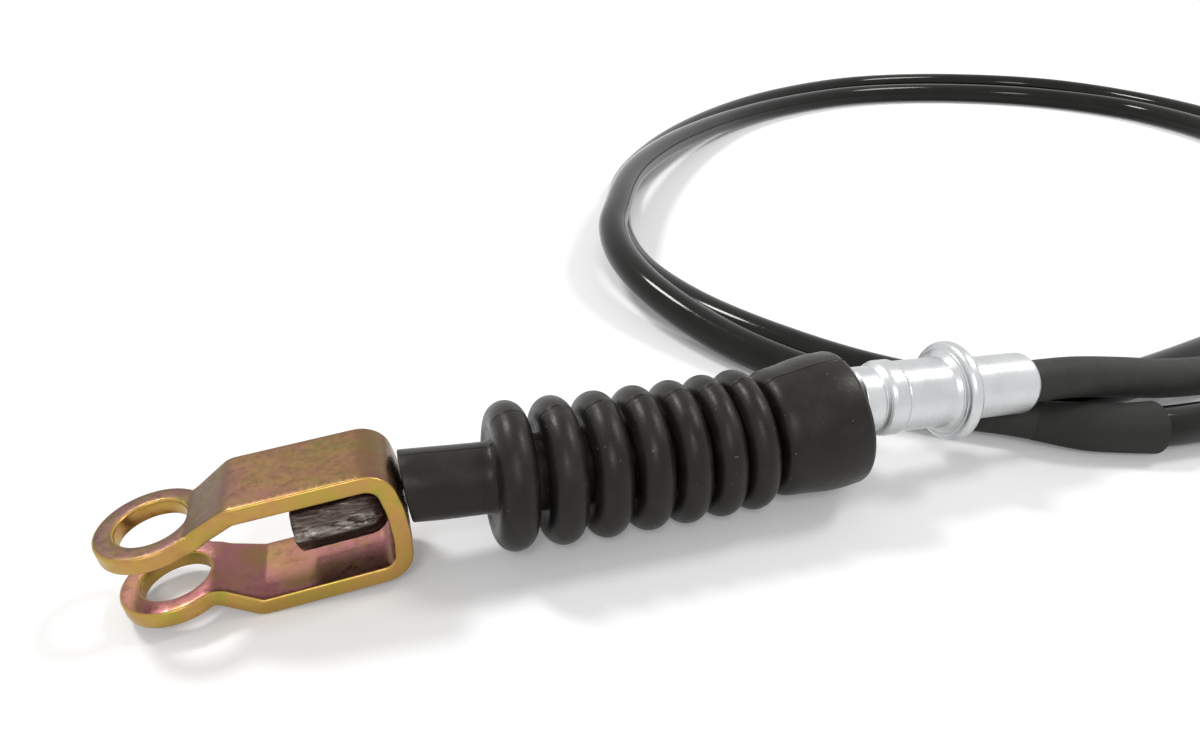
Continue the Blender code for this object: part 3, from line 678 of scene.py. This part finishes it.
def blank_loop(path_x, path_s, total):
    """Outline of the flat blank in (length along the strip, place across it)."""
    half = STRIP_WIDTH / 2
    eye = arc((0.0, 0.0), EYE_RADIUS, 52, 308, 70)
    straight_from = JOGGLE_END + 8.0
    shoulder = [(JOGGLE_START + 0.6, WAIST_WIDTH / 2), (JOGGLE_END, half), (straight_from, half)]
    side = rounded([eye[0]] + shoulder, [2.4, 3.5])[1:]

    def lower(point):
        return (float(np.interp(point[0], path_x, path_s)), point[1])

    def upper(point):
        return (total - float(np.interp(point[0], path_x, path_s)), point[1])

    edge = [lower(point) for point in side] + [upper(point) for point in side[::-1]]
    loop = edge + [upper(point) for point in eye]
    loop += [(length, -across) for length, across in edge[::-1]]
    loop += [lower(point) for point in eye[::-1]]
    return resampled(loop + [loop[0]], 0.42)[:-1]


def circle_loop(centre, radius, count):
    return np.array([(centre + radius * cos(turn), radius * sin(turn)) for turn in turns(count)])


def inset_loop(loop, distance):
    """A loop moved to its left side, square to itself."""
    along = np.roll(loop, -1, axis=0) - np.roll(loop, 1, axis=0)
    along /= np.linalg.norm(along, axis=1)[:, None]
    return loop + distance * np.stack([-along[:, 1], along[:, 0]], axis=1)


def signed_area(loop):
    after = np.roll(loop, -1, axis=0)
    return 0.5 * float(np.sum(loop[:, 0] * after[:, 1] - loop[:, 1] * after[:, 0]))


def inside_loop(points, loop):
    """Which points lie inside a closed loop."""
    hit = np.zeros(len(points), bool)
    after = np.roll(loop, -1, axis=0)
    for (ax, ay), (bx, by) in zip(loop, after):
        crosses = (ay > points[:, 1]) != (by > points[:, 1])
        with np.errstate(divide="ignore", invalid="ignore"):
            at = (bx - ax) * (points[:, 1] - ay) / (by - ay) + ax
        hit ^= crosses & (points[:, 0] < at)
    return hit


def on_metal(points, loops):
    """Which points lie inside the first loop and outside the others."""
    on = inside_loop(points, loops[0])
    for loop in loops[1:]:
        on &= ~inside_loop(points, loop)
    return on


def strip_loops(path, lengths):
    """The flat blank's outline and its holes, each with the metal on its left."""
    total = float(lengths[-1])
    first_arm = (path[:, 0] < CLEVIS_LENGTH - 6.0) & (lengths < total / 2)
    path_x = path[first_arm, 0]
    path_s = lengths[first_arm]
    eye_s = float(np.interp(0.0, path_x, path_s))
    outer = blank_loop(path_x, path_s, total)
    if signed_area(outer) < 0:
        outer = outer[::-1]
    holes = [circle_loop(eye_s, PIN_HOLE, 72), circle_loop(total - eye_s, PIN_HOLE, 72),
             circle_loop(total / 2, WEB_HOLE, 40)]
    return [outer] + [hole[::-1] for hole in holes]


def face_triangles(loops):
    """A grid of points inside the strip's flat faces, and triangles over the loops and it."""
    row_gap = 0.45
    column_gap = 0.85
    margin = 0.3
    columns = np.arange(-STRIP_WIDTH, STRIP_WIDTH, column_gap)
    rows = np.arange(float(loops[0][:, 0].min()), float(loops[0][:, 0].max()), row_gap)
    grid = np.array([(row, column + (column_gap / 2 if index % 2 else 0.0))
                     for index, row in enumerate(rows) for column in columns])
    grid = grid[on_metal(grid, [inset_loop(loop, STRIP_RIM + margin) for loop in loops])]
    faces_in = [inset_loop(loop, STRIP_RIM) for loop in loops]
    edges = []
    start = 0
    for loop in faces_in:
        edges += [(start + k, start + (k + 1) % len(loop)) for k in range(len(loop))]
        start += len(loop)
    flat = [Vector(point) for point in np.concatenate(faces_in + [grid])]
    found = geometry.delaunay_2d_cdt(flat, edges, [], 0, 1e-6)
    assert len(found[0]) == len(flat)
    middles = np.array([np.mean([tuple(found[0][k]) for k in triangle], axis=0) for triangle in found[2]])
    good = on_metal(middles, faces_in)
    return grid, [tuple(triangle) for triangle, keep in zip(found[2], good) if keep]


def folded(blank, path, lengths):
    """Points of the flat blank moved onto the folded path."""
    along = np.gradient(path, lengths, axis=0)
    along /= np.linalg.norm(along, axis=1)[:, None]
    place_x, place_z, along_x, along_z = (
        np.interp(blank[:, 0], lengths, column) for column in np.hstack([path, along]).T)
    local_x = place_x - along_z * blank[:, 2]
    local_z = place_z + along_x * blank[:, 2]
    return [EYE + CABLE_DIRECTION * x + CABLE_UP * z + Vector((0.0, y, 0.0))
            for x, y, z in zip(local_x, blank[:, 1], local_z)]


def make_clevis(look):
    path = clevis_path()
    lengths = np.array(walked(path))
    loops = strip_loops(path, lengths)
    half = STRIP / 2
    levels = []
    for angle in (0, 30, 60, 90):
        turn = radians(angle)
        levels.append((STRIP_RIM * (1 - sin(turn)), half - STRIP_RIM * (1 - cos(turn))))
    levels += [(0.0, 0.0)]
    levels += [(inset, -height) for inset, height in levels[-2::-1]]

    blank = []
    rims = []
    for inset, height in levels:
        for loop in loops:
            blank += [(row, across, height) for row, across in inset_loop(loop, inset)]
            rims += [1.0 if inset < 0.6 * STRIP_RIM else 0.0] * len(loop)
    on_loops = sum(len(loop) for loop in loops)
    faces = []
    loop_start = 0
    for loop in loops:
        for level in range(len(levels) - 1):
            first = level * on_loops + loop_start
            faces += ring_faces(first, first + on_loops, len(loop))
        loop_start += len(loop)
    grid, triangles = face_triangles(loops)
    for base, height in ((0, half), ((len(levels) - 1) * on_loops, -half)):
        grid_start = len(blank)
        blank += [(row, across, height) for row, across in grid]
        rims += [0.0] * len(grid)
        for triangle in triangles:
            faces.append(tuple(base + k if k < on_loops else grid_start + k - on_loops for k in triangle))

    blank = np.array(blank)
    points = folded(blank, path, lengths)
    clevis = finish_piece("clevis_plated", points, faces, look, 80.0, rim=rims, inner=blank[:, 2] > 0)
    weigh = clevis.modifiers.new("flat_faces", "WEIGHTED_NORMAL")
    weigh.weight = 80
    stands_for(clevis, "clevis", "clevis_body")


# Crimped head of the wire

def head_flats(turn):
    return min(1.0, HEAD_FLAT / cos(off_flat(turn)))


def make_terminal(look):
    """The crimped head, gouged by the tool along the corner that faces -Y."""
    back = CLEVIS_LENGTH - STRIP - FIT
    front = back - HEAD_LENGTH
    steps = 96
    stations = [(front, share) for share in (0.0, 0.5, 0.85)]
    stations += [(front + 0.12, 0.95), (front + 0.35, 1.0)]
    stations += [(front + 0.35 + (HEAD_LENGTH - HEAD_TAPER - 0.35) * k / 30, 1.0) for k in range(1, 31)]
    stations += [(back - 0.65 * HEAD_TAPER, 0.95), (back - 0.3 * HEAD_TAPER, 0.82),
                 (back, 0.62), (back, 0.4), (back, 0.0)]
    rings = []
    gouge = []
    for place, share in stations:
        ring = []
        for turn in turns(steps):
            from_corner = degrees(abs((turn - radians(GOUGE_DEGREES) + pi) % (2 * pi) - pi))
            in_band = max(0.0, 1.0 - (from_corner / GOUGE_HALF_WIDTH) ** 2)
            rough = noise.fractal(Vector((place * 0.55, turn * 3.2, 4.0)), 0.8, 2.0, 4)
            dent = GOUGE_DEPTH * in_band * (rough - 0.35) + 0.035 * rough
            reach = HEAD_RADIUS * head_flats(turn) * share + dent * min(share, 1.0)
            wave = 0.16 * noise.noise(Vector((turn * 1.3, 2.0, 0.0))) if place < back - 1 else 0.0
            centre = EYE + CABLE_DIRECTION * (place + wave)
            ring.append(on_ring(centre, CLEVIS_PITCH, max(reach, 0.0), turn))
            gouge.append(in_band)
        rings.append(ring)
    head = skinned("terminal_crimped", rings, look, sharp=50.0, gouge=gouge)
    stands_for(head, "wire_terminal", "front_wire")


def make_inner_wire(look):
    """The wire's hidden stretch, a copy of its CAD node's mesh with a new material."""
    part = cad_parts["inner_wire"]
    mesh = part.data.copy()
    mesh.transform(part.matrix_world)
    mesh.materials.clear()
    mesh.materials.append(look)
    wire = linked("inner_wire_steel", mesh)
    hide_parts("inner_wire")
    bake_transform(wire)


# Boot

def nose_station():
    return CLEVIS_LENGTH * cos(CLEVIS_PITCH) + 2 * FIT


def ring_stations():
    stations = [nose_station() + FIRST_RING]
    for gap in range(RINGS - 1):
        stations.append(stations[-1] + FIRST_PITCH + (LAST_PITCH - FIRST_PITCH) * gap / (RINGS - 2))
    return stations


def ring_half_widths(stations):
    widths = []
    for index, station in enumerate(stations):
        gaps = [abs(other - station) for other in stations[max(index - 1, 0):index + 2] if other != station]
        widths.append(min(RING_HALF_WIDTH, (min(gaps) - RING_SPACE) / 2))
    return widths


def cuff_start():
    return ring_stations()[-1] + RING_HALF_WIDTH + RING_SPACE


def boot_axis(station):
    front = nose_station()
    rim = cuff_start() + CUFF_LENGTH
    from_low = station - SAG_STATION
    if from_low < 0:
        bend = (NOSE_HEIGHT - RING_RADIUS) / (SAG_STATION - front) ** 2
    else:
        bend = (CUFF_HEIGHT - RING_RADIUS) / (rim - SAG_STATION) ** 2
    lean = atan(2 * bend * from_low)
    square_share = max(0.0, 1.0 - (station - front) / NOSE_RADIUS)
    lean += (CLEVIS_PITCH - lean) * min(square_share, 1.0)
    return Vector((EYE_X + station, 0.0, RING_RADIUS + bend * from_low ** 2)), lean


def boot_outline():
    """The boot's outside, nose to rim, as (station, radius, 1), then its inside with 0."""
    front = nose_station()
    stations = ring_stations()
    widths = ring_half_widths(stations)
    cuff = cuff_start()
    rim = cuff + CUFF_LENGTH
    lip = front - NOSE_LIP
    outside = [(lip + 0.25, NOSE_BORE), (lip, NOSE_BORE + 0.3), (lip, NOSE_RADIUS - 0.14),
               (lip + 0.05, NOSE_RADIUS - 0.03), (lip + 0.2, NOSE_RADIUS + 0.02)]
    nose_end = stations[0] - widths[0] - 0.4
    nose_start = front + NOSE_ROUND
    outside += [(nose_start + (nose_end - nose_start) * k / 10, NOSE_RADIUS) for k in range(1, 11)]
    for station, width in zip(stations, widths):
        outside.append((station - 0.86 * width, ROOT_RADIUS))
        outside += arc((station, RING_RADIUS - width), width, 205, -25, 22)
        outside.append((station + 0.86 * width, ROOT_RADIUS))
    body = [
        (0.05, -2.6), (0.25, -1.75), (0.7, -1.15), (1.5, -0.78), (2.6, -0.6), (3.8, -0.5), (5.0, -0.36),
        (6.2, -0.18), (7.4, -0.02), (8.8, 0.08), (10.2, 0.08),
    ]
    outside.append((cuff, ROOT_RADIUS + 0.2))
    outside += [(cuff + place, CUFF_RADIUS + swell) for place, swell in body]
    outside += arc((rim - CUFF_ROUND, CUFF_RADIUS - CUFF_ROUND), CUFF_ROUND, 80, 0, 8)
    inside = [(rim - 0.15, CUFF_BORE + 0.25), (rim - 0.5, CUFF_BORE), (cuff + 2 * BOOT_WALL, CUFF_BORE),
              (cuff + BOOT_WALL, ROOT_RADIUS - BOOT_WALL)]
    root = ROOT_RADIUS - BOOT_WALL
    for station, width in reversed(list(zip(stations, widths))):
        hollow = width - BOOT_WALL
        crown = RING_RADIUS - BOOT_WALL
        inside += [(station + hollow, root), (station + 0.6 * hollow, crown),
                   (station - 0.6 * hollow, crown), (station - hollow, root)]
    inside.append((stations[0] - widths[0], NOSE_BORE))
    return [(*point, 1.0) for point in outside] + [(*point, 0.0) for point in inside]


def seam_columns(radius, between=44):
    """Turns and seam lifts round a ring, with close columns along the two moulding seams."""
    columns = []
    for base in (0.0, pi):
        for side, lift in zip(SEAM_SIDES, SEAM_LIFTS):
            columns.append((base + asin(side / radius), lift))
        start = base + asin(SEAM_SIDES[-1] / radius)
        end = base + pi + asin(SEAM_SIDES[0] / radius)
        columns += [(start + (end - start) * step / between, 0.0) for step in range(1, between)]
    return columns


def make_boot(look):
    rings = []
    for station, radius, outer in boot_outline():
        centre, lean = boot_axis(station)
        ring = []
        for turn, lift in seam_columns(radius):
            spot = on_ring(centre, lean, radius, turn)
            uneven = 0.06 * noise.noise(spot * 0.16)
            ragged = 0.8 + 0.5 * noise.noise(Vector((station * 0.9, radius * 0.5, 7.0)))
            ring.append(on_ring(centre, lean, radius + outer * (uneven + lift * ragged), turn))
        rings.append(ring)
    boot = skinned("boot_rubber", rings, look, closed=True, sharp=75.0)
    rest = boot.data.attributes.new("rest_mm", "FLOAT_VECTOR", "POINT")
    spots = np.array([tuple(point) for ring in rings for point in ring], np.float32)
    rest.data.foreach_set("vector", spots.ravel())
    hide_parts("dust_boot")
    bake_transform(boot)


# Front ferrule

def ferrule_axis(place):
    return FLANGE + FERRULE_DIRECTION * place, -FERRULE_PITCH


def make_ferrule(look):
    mouth = -FERRULE_NOSE
    rear = FERRULE_REAR
    outline = [
        (mouth, SEAL_SEAT), (mouth, PILOT_RADIUS), (mouth + NOSE_PILOT, PILOT_RADIUS),
        (mouth + NOSE_PILOT + 0.6, BARREL_RADIUS), (-BEAD_START - 0.7, BARREL_RADIUS),
        (-BEAD_START - 0.35, BARREL_RADIUS - 0.22), (-BEAD_START - 0.1, BARREL_RADIUS + 0.05),
        (-BEAD_START + 0.35, BEAD_RADIUS - 0.18), (-BEAD_START + 0.9, BEAD_RADIUS),
        (-BEAD_END - 0.45, BEAD_RADIUS), (-BEAD_END - 0.12, BEAD_RADIUS - 0.12),
        (-BEAD_END, NECK_RADIUS - 0.12), (-BEAD_END + 0.16, NECK_RADIUS), (-1.9, NECK_RADIUS),
        (-0.95, NECK_RADIUS + 0.14), (-0.35, NECK_RADIUS + 0.55), (-0.08, NECK_RADIUS + 0.95),
        (-0.04, NECK_RADIUS + 1.12), (0.07, NECK_RADIUS + 1.18), (0.07, NECK_RADIUS + 1.42),
        (0.0, FLANGE_RADIUS - FLANGE_ROUND),
    ]
    outline += arc((FLANGE_ROUND, FLANGE_RADIUS - FLANGE_ROUND), FLANGE_ROUND, 170, 90, 8)
    outline += arc((FLANGE_WIDTH - FLANGE_ROUND, FLANGE_RADIUS - FLANGE_ROUND), FLANGE_ROUND, 90, 0, 8)
    outline += [(FLANGE_WIDTH, CRIMP_RADIUS + 0.3), (FLANGE_WIDTH + 0.1, CRIMP_RADIUS + 0.1),
                (FLANGE_WIDTH + 0.35, CRIMP_RADIUS)]
    outline += arc((rear - CRIMP_ROUND, CRIMP_RADIUS - CRIMP_ROUND), CRIMP_ROUND, 90, 5, 8)
    outline += [(rear, CASING_RADIUS + 0.25), (rear - 0.6, CASING_RADIUS + 0.1), (rear - 0.6, FERRULE_BORE),
                (mouth + SEAL_DEPTH, FERRULE_BORE), (mouth + SEAL_DEPTH, SEAL_SEAT)]
    outline = softened(outline, 0.1, 2)
    ferrule = lathed("ferrule_turned", outline, look, ferrule_axis, 112, sharp=50.0)
    stands_for(ferrule, "front_ferrule")


# Rear end

def rear_axis(place):
    return REAR_FACE + Vector((place, 0.0, 0.0)), 0.0


def on_rear(place, radius, turn):
    return on_ring(rear_axis(place)[0], 0.0, radius, turn)


def make_rear_ferrule(look):
    """Collar and shank in one piece, the shank with its thread as a real helix."""
    steps = 40
    collar = [(0.0, FERRULE_BORE)] + arc((CRIMP_ROUND, CRIMP_RADIUS - CRIMP_ROUND), CRIMP_ROUND, 180, 90, 6)
    collar += [(REAR_COLLAR - 0.5, CRIMP_RADIUS), (REAR_COLLAR, CRIMP_RADIUS - 0.5),
               (REAR_COLLAR, SHANK_RADIUS - THREAD_DEPTH), (REAR_COLLAR + 1.2, SHANK_RADIUS - THREAD_DEPTH)]
    rings = []
    along = []

    def add_ring(place, radius_at):
        rings.append([on_rear(place, radius_at(turn), turn) for turn in turns(steps)])
        along.extend([place] * steps)

    for place, radius in collar:
        add_ring(place, lambda turn, radius=radius: radius)
    thread_start = REAR_COLLAR + 1.4
    thread_end = SHANK_END - 0.3
    count = round((thread_end - thread_start) / THREAD_PITCH * 6)
    for index in range(count + 1):
        place = thread_start + (thread_end - thread_start) * index / count
        run_out = min(1.0, (place - thread_start) / 1.0, (thread_end - place) / 0.8 + 0.2)

        def crest(turn, place=place, run_out=run_out):
            phase = (place / THREAD_PITCH - turn / (2 * pi)) % 1.0
            height = min(1.0, max(0.0, 1.35 - abs(phase - 0.5) * 3.4))
            return SHANK_RADIUS - THREAD_DEPTH + THREAD_DEPTH * height * max(run_out, 0.0)

        add_ring(place, crest)
    for place, radius in ((SHANK_END, SHANK_RADIUS - THREAD_DEPTH), (SHANK_END, FERRULE_BORE)):
        add_ring(place, lambda turn, radius=radius: radius)
    rear = skinned("rear_ferrule_threaded", rings, look, closed=True, sharp=60.0, along=along)
    return stands_for(rear, "rear_ferrule")


def make_nut(name, cad_node, start, look):
    """A hexagon with corners turned off at both faces."""
    corner = NUT_WIDTH / sqrt(3)
    chamfer = 0.35
    bore = SHANK_RADIUS + FIT
    rings = []
    along = []
    steps = 72
    slope = tan(radians(30))
    depth = (corner - NUT_WIDTH / 2) * slope + chamfer
    places = [(0.0, bore + chamfer), (0.0, NUT_WIDTH / 2 - chamfer)]
    places += [(depth * index / 6, None) for index in range(7)]
    profile = places + [(NUT_THICKNESS - place, reach) for place, reach in places[::-1]]
    profile += [(NUT_THICKNESS - chamfer, bore), (chamfer, bore)]
    for place, reach in profile:
        cone = NUT_WIDTH / 2 - 0.2 + min(place, NUT_THICKNESS - place) / slope
        ring = []
        for turn in turns(steps):
            hexagon = NUT_WIDTH / 2 / cos(off_flat(turn))
            radius = min(hexagon, cone) if reach is None else reach
            ring.append(on_rear(start + place, radius, turn))
        rings.append(ring)
        along += [start + place] * steps
    nut = skinned(name, rings, look, closed=True, sharp=28.0, along=along)
    return stands_for(nut, cad_node)


def make_washer(name, cad_node, start, look):
    """A toothed lock washer."""
    bore = SHANK_RADIUS + FIT
    end = start + WASHER_THICKNESS
    outline = softened([(start, bore), (start, WASHER_RADIUS), (end, WASHER_RADIUS), (end, bore)], 0.15, 2)

    def teeth(turn):
        return 1.0 - 0.035 * (0.5 + 0.5 * cos(12 * turn)) ** 3

    washer = lathed(name, outline, look, rear_axis, 96, teeth)
    return stands_for(washer, cad_node)


def make_rear_wire(look):
    """Six outer wires laid round a core, from inside the shank to the rear terminal."""
    start = SHANK_END - 4.0
    end = REAR_HEAD_START + REAR_HEAD_GRIP - FIT
    wires = 6
    wire_radius = WIRE_RADIUS / 3
    lay = 9.0
    sides = 8
    rows = round((end - start) / 0.6)
    points = []
    faces = []
    for wire in range(wires + 1):
        reach = 0.0 if wire == wires else 2 * wire_radius
        first = len(points)
        for row in range(rows + 1):
            place = start + (end - start) * row / rows
            turn = 2 * pi * (wire / wires + place / lay)
            centre = on_rear(place, reach, turn)
            for spin in turns(sides):
                points.append(centre + wire_radius * Vector((0.0, cos(spin), sin(spin))))
        for row in range(rows):
            faces += ring_faces(first + row * sides, first + (row + 1) * sides, sides)
        faces.append(tuple(range(first, first + sides)))
        faces.append(tuple(range(first + rows * sides, first + (rows + 1) * sides)))
    strand = finish_piece("rear_strand", points, faces, look, 60.0)
    return stands_for(strand, "rear_wire", "rear_wire_body")


def make_rear_cap(look):
    """A rubber cap over the shank's end, with a groove round it."""
    seat = SHANK_RADIUS + FIT
    outer = seat + CAP_WALL
    groove = outer - 0.35
    step = SHANK_END + FIT
    outline = [
        (CAP_START, seat), (CAP_START, outer), (CAP_START + 1.4, outer), (CAP_START + 1.6, groove),
        (CAP_START + 2.2, groove), (CAP_START + 2.4, outer), (step, outer), (CAP_END - 1.6, outer * 0.8),
        (CAP_END, outer * 0.6), (CAP_END, REAR_WIRE_HOLE), (step, REAR_WIRE_HOLE), (step, seat),
    ]
    cap = lathed("rear_cap_rubber", softened(outline, 0.5, 4), look, rear_axis, 64, sharp=60.0)
    return stands_for(cap, "rear_seal")


def make_rear_terminal(look):
    """A crimped barrel, grooved round its middle, open to the wire at one end."""
    head = REAR_HEAD_START
    end = head + REAR_HEAD_LENGTH
    grip = head + REAR_HEAD_GRIP
    radius = REAR_HEAD_RADIUS
    groove = radius - 0.25
    outline = [
        (head, REAR_WIRE_HOLE), (head, radius), (head + 2.0, radius), (head + 2.3, groove),
        (head + 5.2, groove), (head + 5.5, radius), (end, radius), (end, 0.02), (grip, 0.02),
        (grip, REAR_WIRE_HOLE),
    ]
    barrel = lathed("rear_terminal_barrel", softened(outline, 0.4, 4), look, rear_axis, 64, sharp=50.0)
    return stands_for(barrel, "rear_terminal", "rear_wire_body")


def make_rear_end(looks):
    made = [make_rear_ferrule(looks["bright"])]
    place = REAR_COLLAR + NUT_PLACE
    made.append(make_nut("nut_inner", "inner_nut", place, looks["nut"]))
    place += NUT_THICKNESS + FIT
    for name in ("inner_lock_washer", "outer_lock_washer"):
        made.append(make_washer(name + "_toothed", name, place, looks["nut"]))
        place += WASHER_THICKNESS + FIT
    made.append(make_nut("nut_outer", "outer_nut", place, looks["nut"]))
    made.append(make_rear_cap(looks["cap"]))
    made.append(make_rear_wire(looks["strand"]))
    made.append(make_rear_terminal(looks["steel"]))
    return made


# Floor, light and camera

def make_floor():
    mesh = bpy.data.meshes.new("floor")
    half = 3.0
    mesh.from_pydata([(-half, -half, 0.0), (half, -half, 0.0), (half, half, 0.0), (-half, half, 0.0)],
                     [], [(0, 1, 2, 3)])
    made = bpy.data.materials.new("white_floor")
    made.use_nodes = True
    tree = made.node_tree
    tree.nodes.clear()
    diffuse = node(tree, "BsdfDiffuse", {"Color": (0.86, 0.86, 0.86, 1.0)}).outputs[0]
    place = node(tree, "TexCoord").outputs["Object"]
    from_middle = node(tree, "VectorMath", {0: place}, operation="LENGTH").outputs["Value"]
    lift = scaled(tree, from_middle, *FLOOR_GLOW, *GLOW_METRES)
    strength = maths(tree, "MULTIPLY", seen_rays(tree), lift)
    glow = node(tree, "Emission", {"Color": (1.0, 1.0, 1.0, 1.0), "Strength": strength}).outputs[0]
    both = node(tree, "AddShader", {0: diffuse, 1: glow}).outputs[0]
    node(tree, "OutputMaterial", {"Surface": both})
    mesh.materials.append(made)
    linked("floor", mesh)


def make_world():
    world = bpy.data.worlds.new("studio")
    bpy.context.scene.world = world
    world.use_nodes = True
    tree = world.node_tree
    tree.nodes.clear()
    inputs = {"Color": (1.0, 1.0, 1.0, 1.0), "Strength": scaled(tree, seen_rays(tree), 0.45, 1.0)}
    sky = node(tree, "Background", inputs).outputs[0]
    node(tree, "OutputWorld", {"Surface": sky})


def add_lamp(name, place, aim, size, watts):
    data = bpy.data.lights.new(name, "AREA")
    data.shape = "DISK"
    data.size = size
    data.energy = watts
    lamp = linked(name, data)
    lamp.location = place
    lamp.rotation_mode = "QUATERNION"
    lamp.rotation_quaternion = (Vector(aim) - Vector(place)).to_track_quat("-Z", "Y")


def make_lamps():
    aim = (0.03, 0.03, 0.0)
    add_lamp("key", (-0.35, 0.45, 0.75), aim, 0.19, 3.6)
    add_lamp("side", (0.55, 0.05, 0.7), aim, 0.22, 2.2)
    add_lamp("front", (-0.25, -0.75, 0.8), aim, 0.3, 2.6)


def make_camera():
    data = bpy.data.cameras.new("camera")
    data.sensor_fit = "HORIZONTAL"
    data.sensor_width = 36.0
    data.lens = 26.0
    data.clip_start = 0.005
    data.clip_end = 20.0
    camera = linked("camera", data)
    down = radians(29.9)
    forward = Vector((0.279 * cos(down), 0.96 * cos(down), -sin(down)))
    camera.location = Vector((-29.8, -92.8, 80.8)) * MM
    camera.rotation_mode = "QUATERNION"
    camera.rotation_quaternion = forward.to_track_quat("-Z", "Y")
    bpy.context.scene.camera = camera


def give_material(name, look):
    """Dress a CAD node that stays in sight."""
    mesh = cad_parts[name].data
    mesh.materials.clear()
    mesh.materials.append(look)


def main():
    bpy.context.scene.view_settings.view_transform = "Standard"
    make_camera()
    looks = {
        "plated": plated_material(),
        "steel": crimp_material(),
        "bright": bright_material("bright_zinc_turned", (0.585, 0.6, 0.605), 0.29, 0.4),
        "nut": bright_material("bright_zinc_nut", (0.55, 0.565, 0.575), 0.28, 0.12),
        "rubber": rubber_material("boot_rubber_fine", True),
        "cap": rubber_material("rubber_small_parts", False),
        "casing": jacket_material(),
        "sleeve": sleeve_material(),
        "strand": strand_material(),
        "liner": liner_material(),
    }
    casing, line = make_casing(looks["casing"])
    sleeve = make_sleeve(line, looks["sleeve"])
    rear = make_rear_end(looks)
    make_clevis(looks["plated"])
    make_terminal(looks["steel"])
    make_boot(looks["rubber"])
    make_ferrule(looks["bright"])
    make_inner_wire(looks["strand"])
    for name, look in (("wiper_seal", "cap"), ("front_liner", "liner"), ("rear_liner", "liner")):
        give_material(name, looks[look])
    make_floor()
    make_world()
    make_lamps()


main()
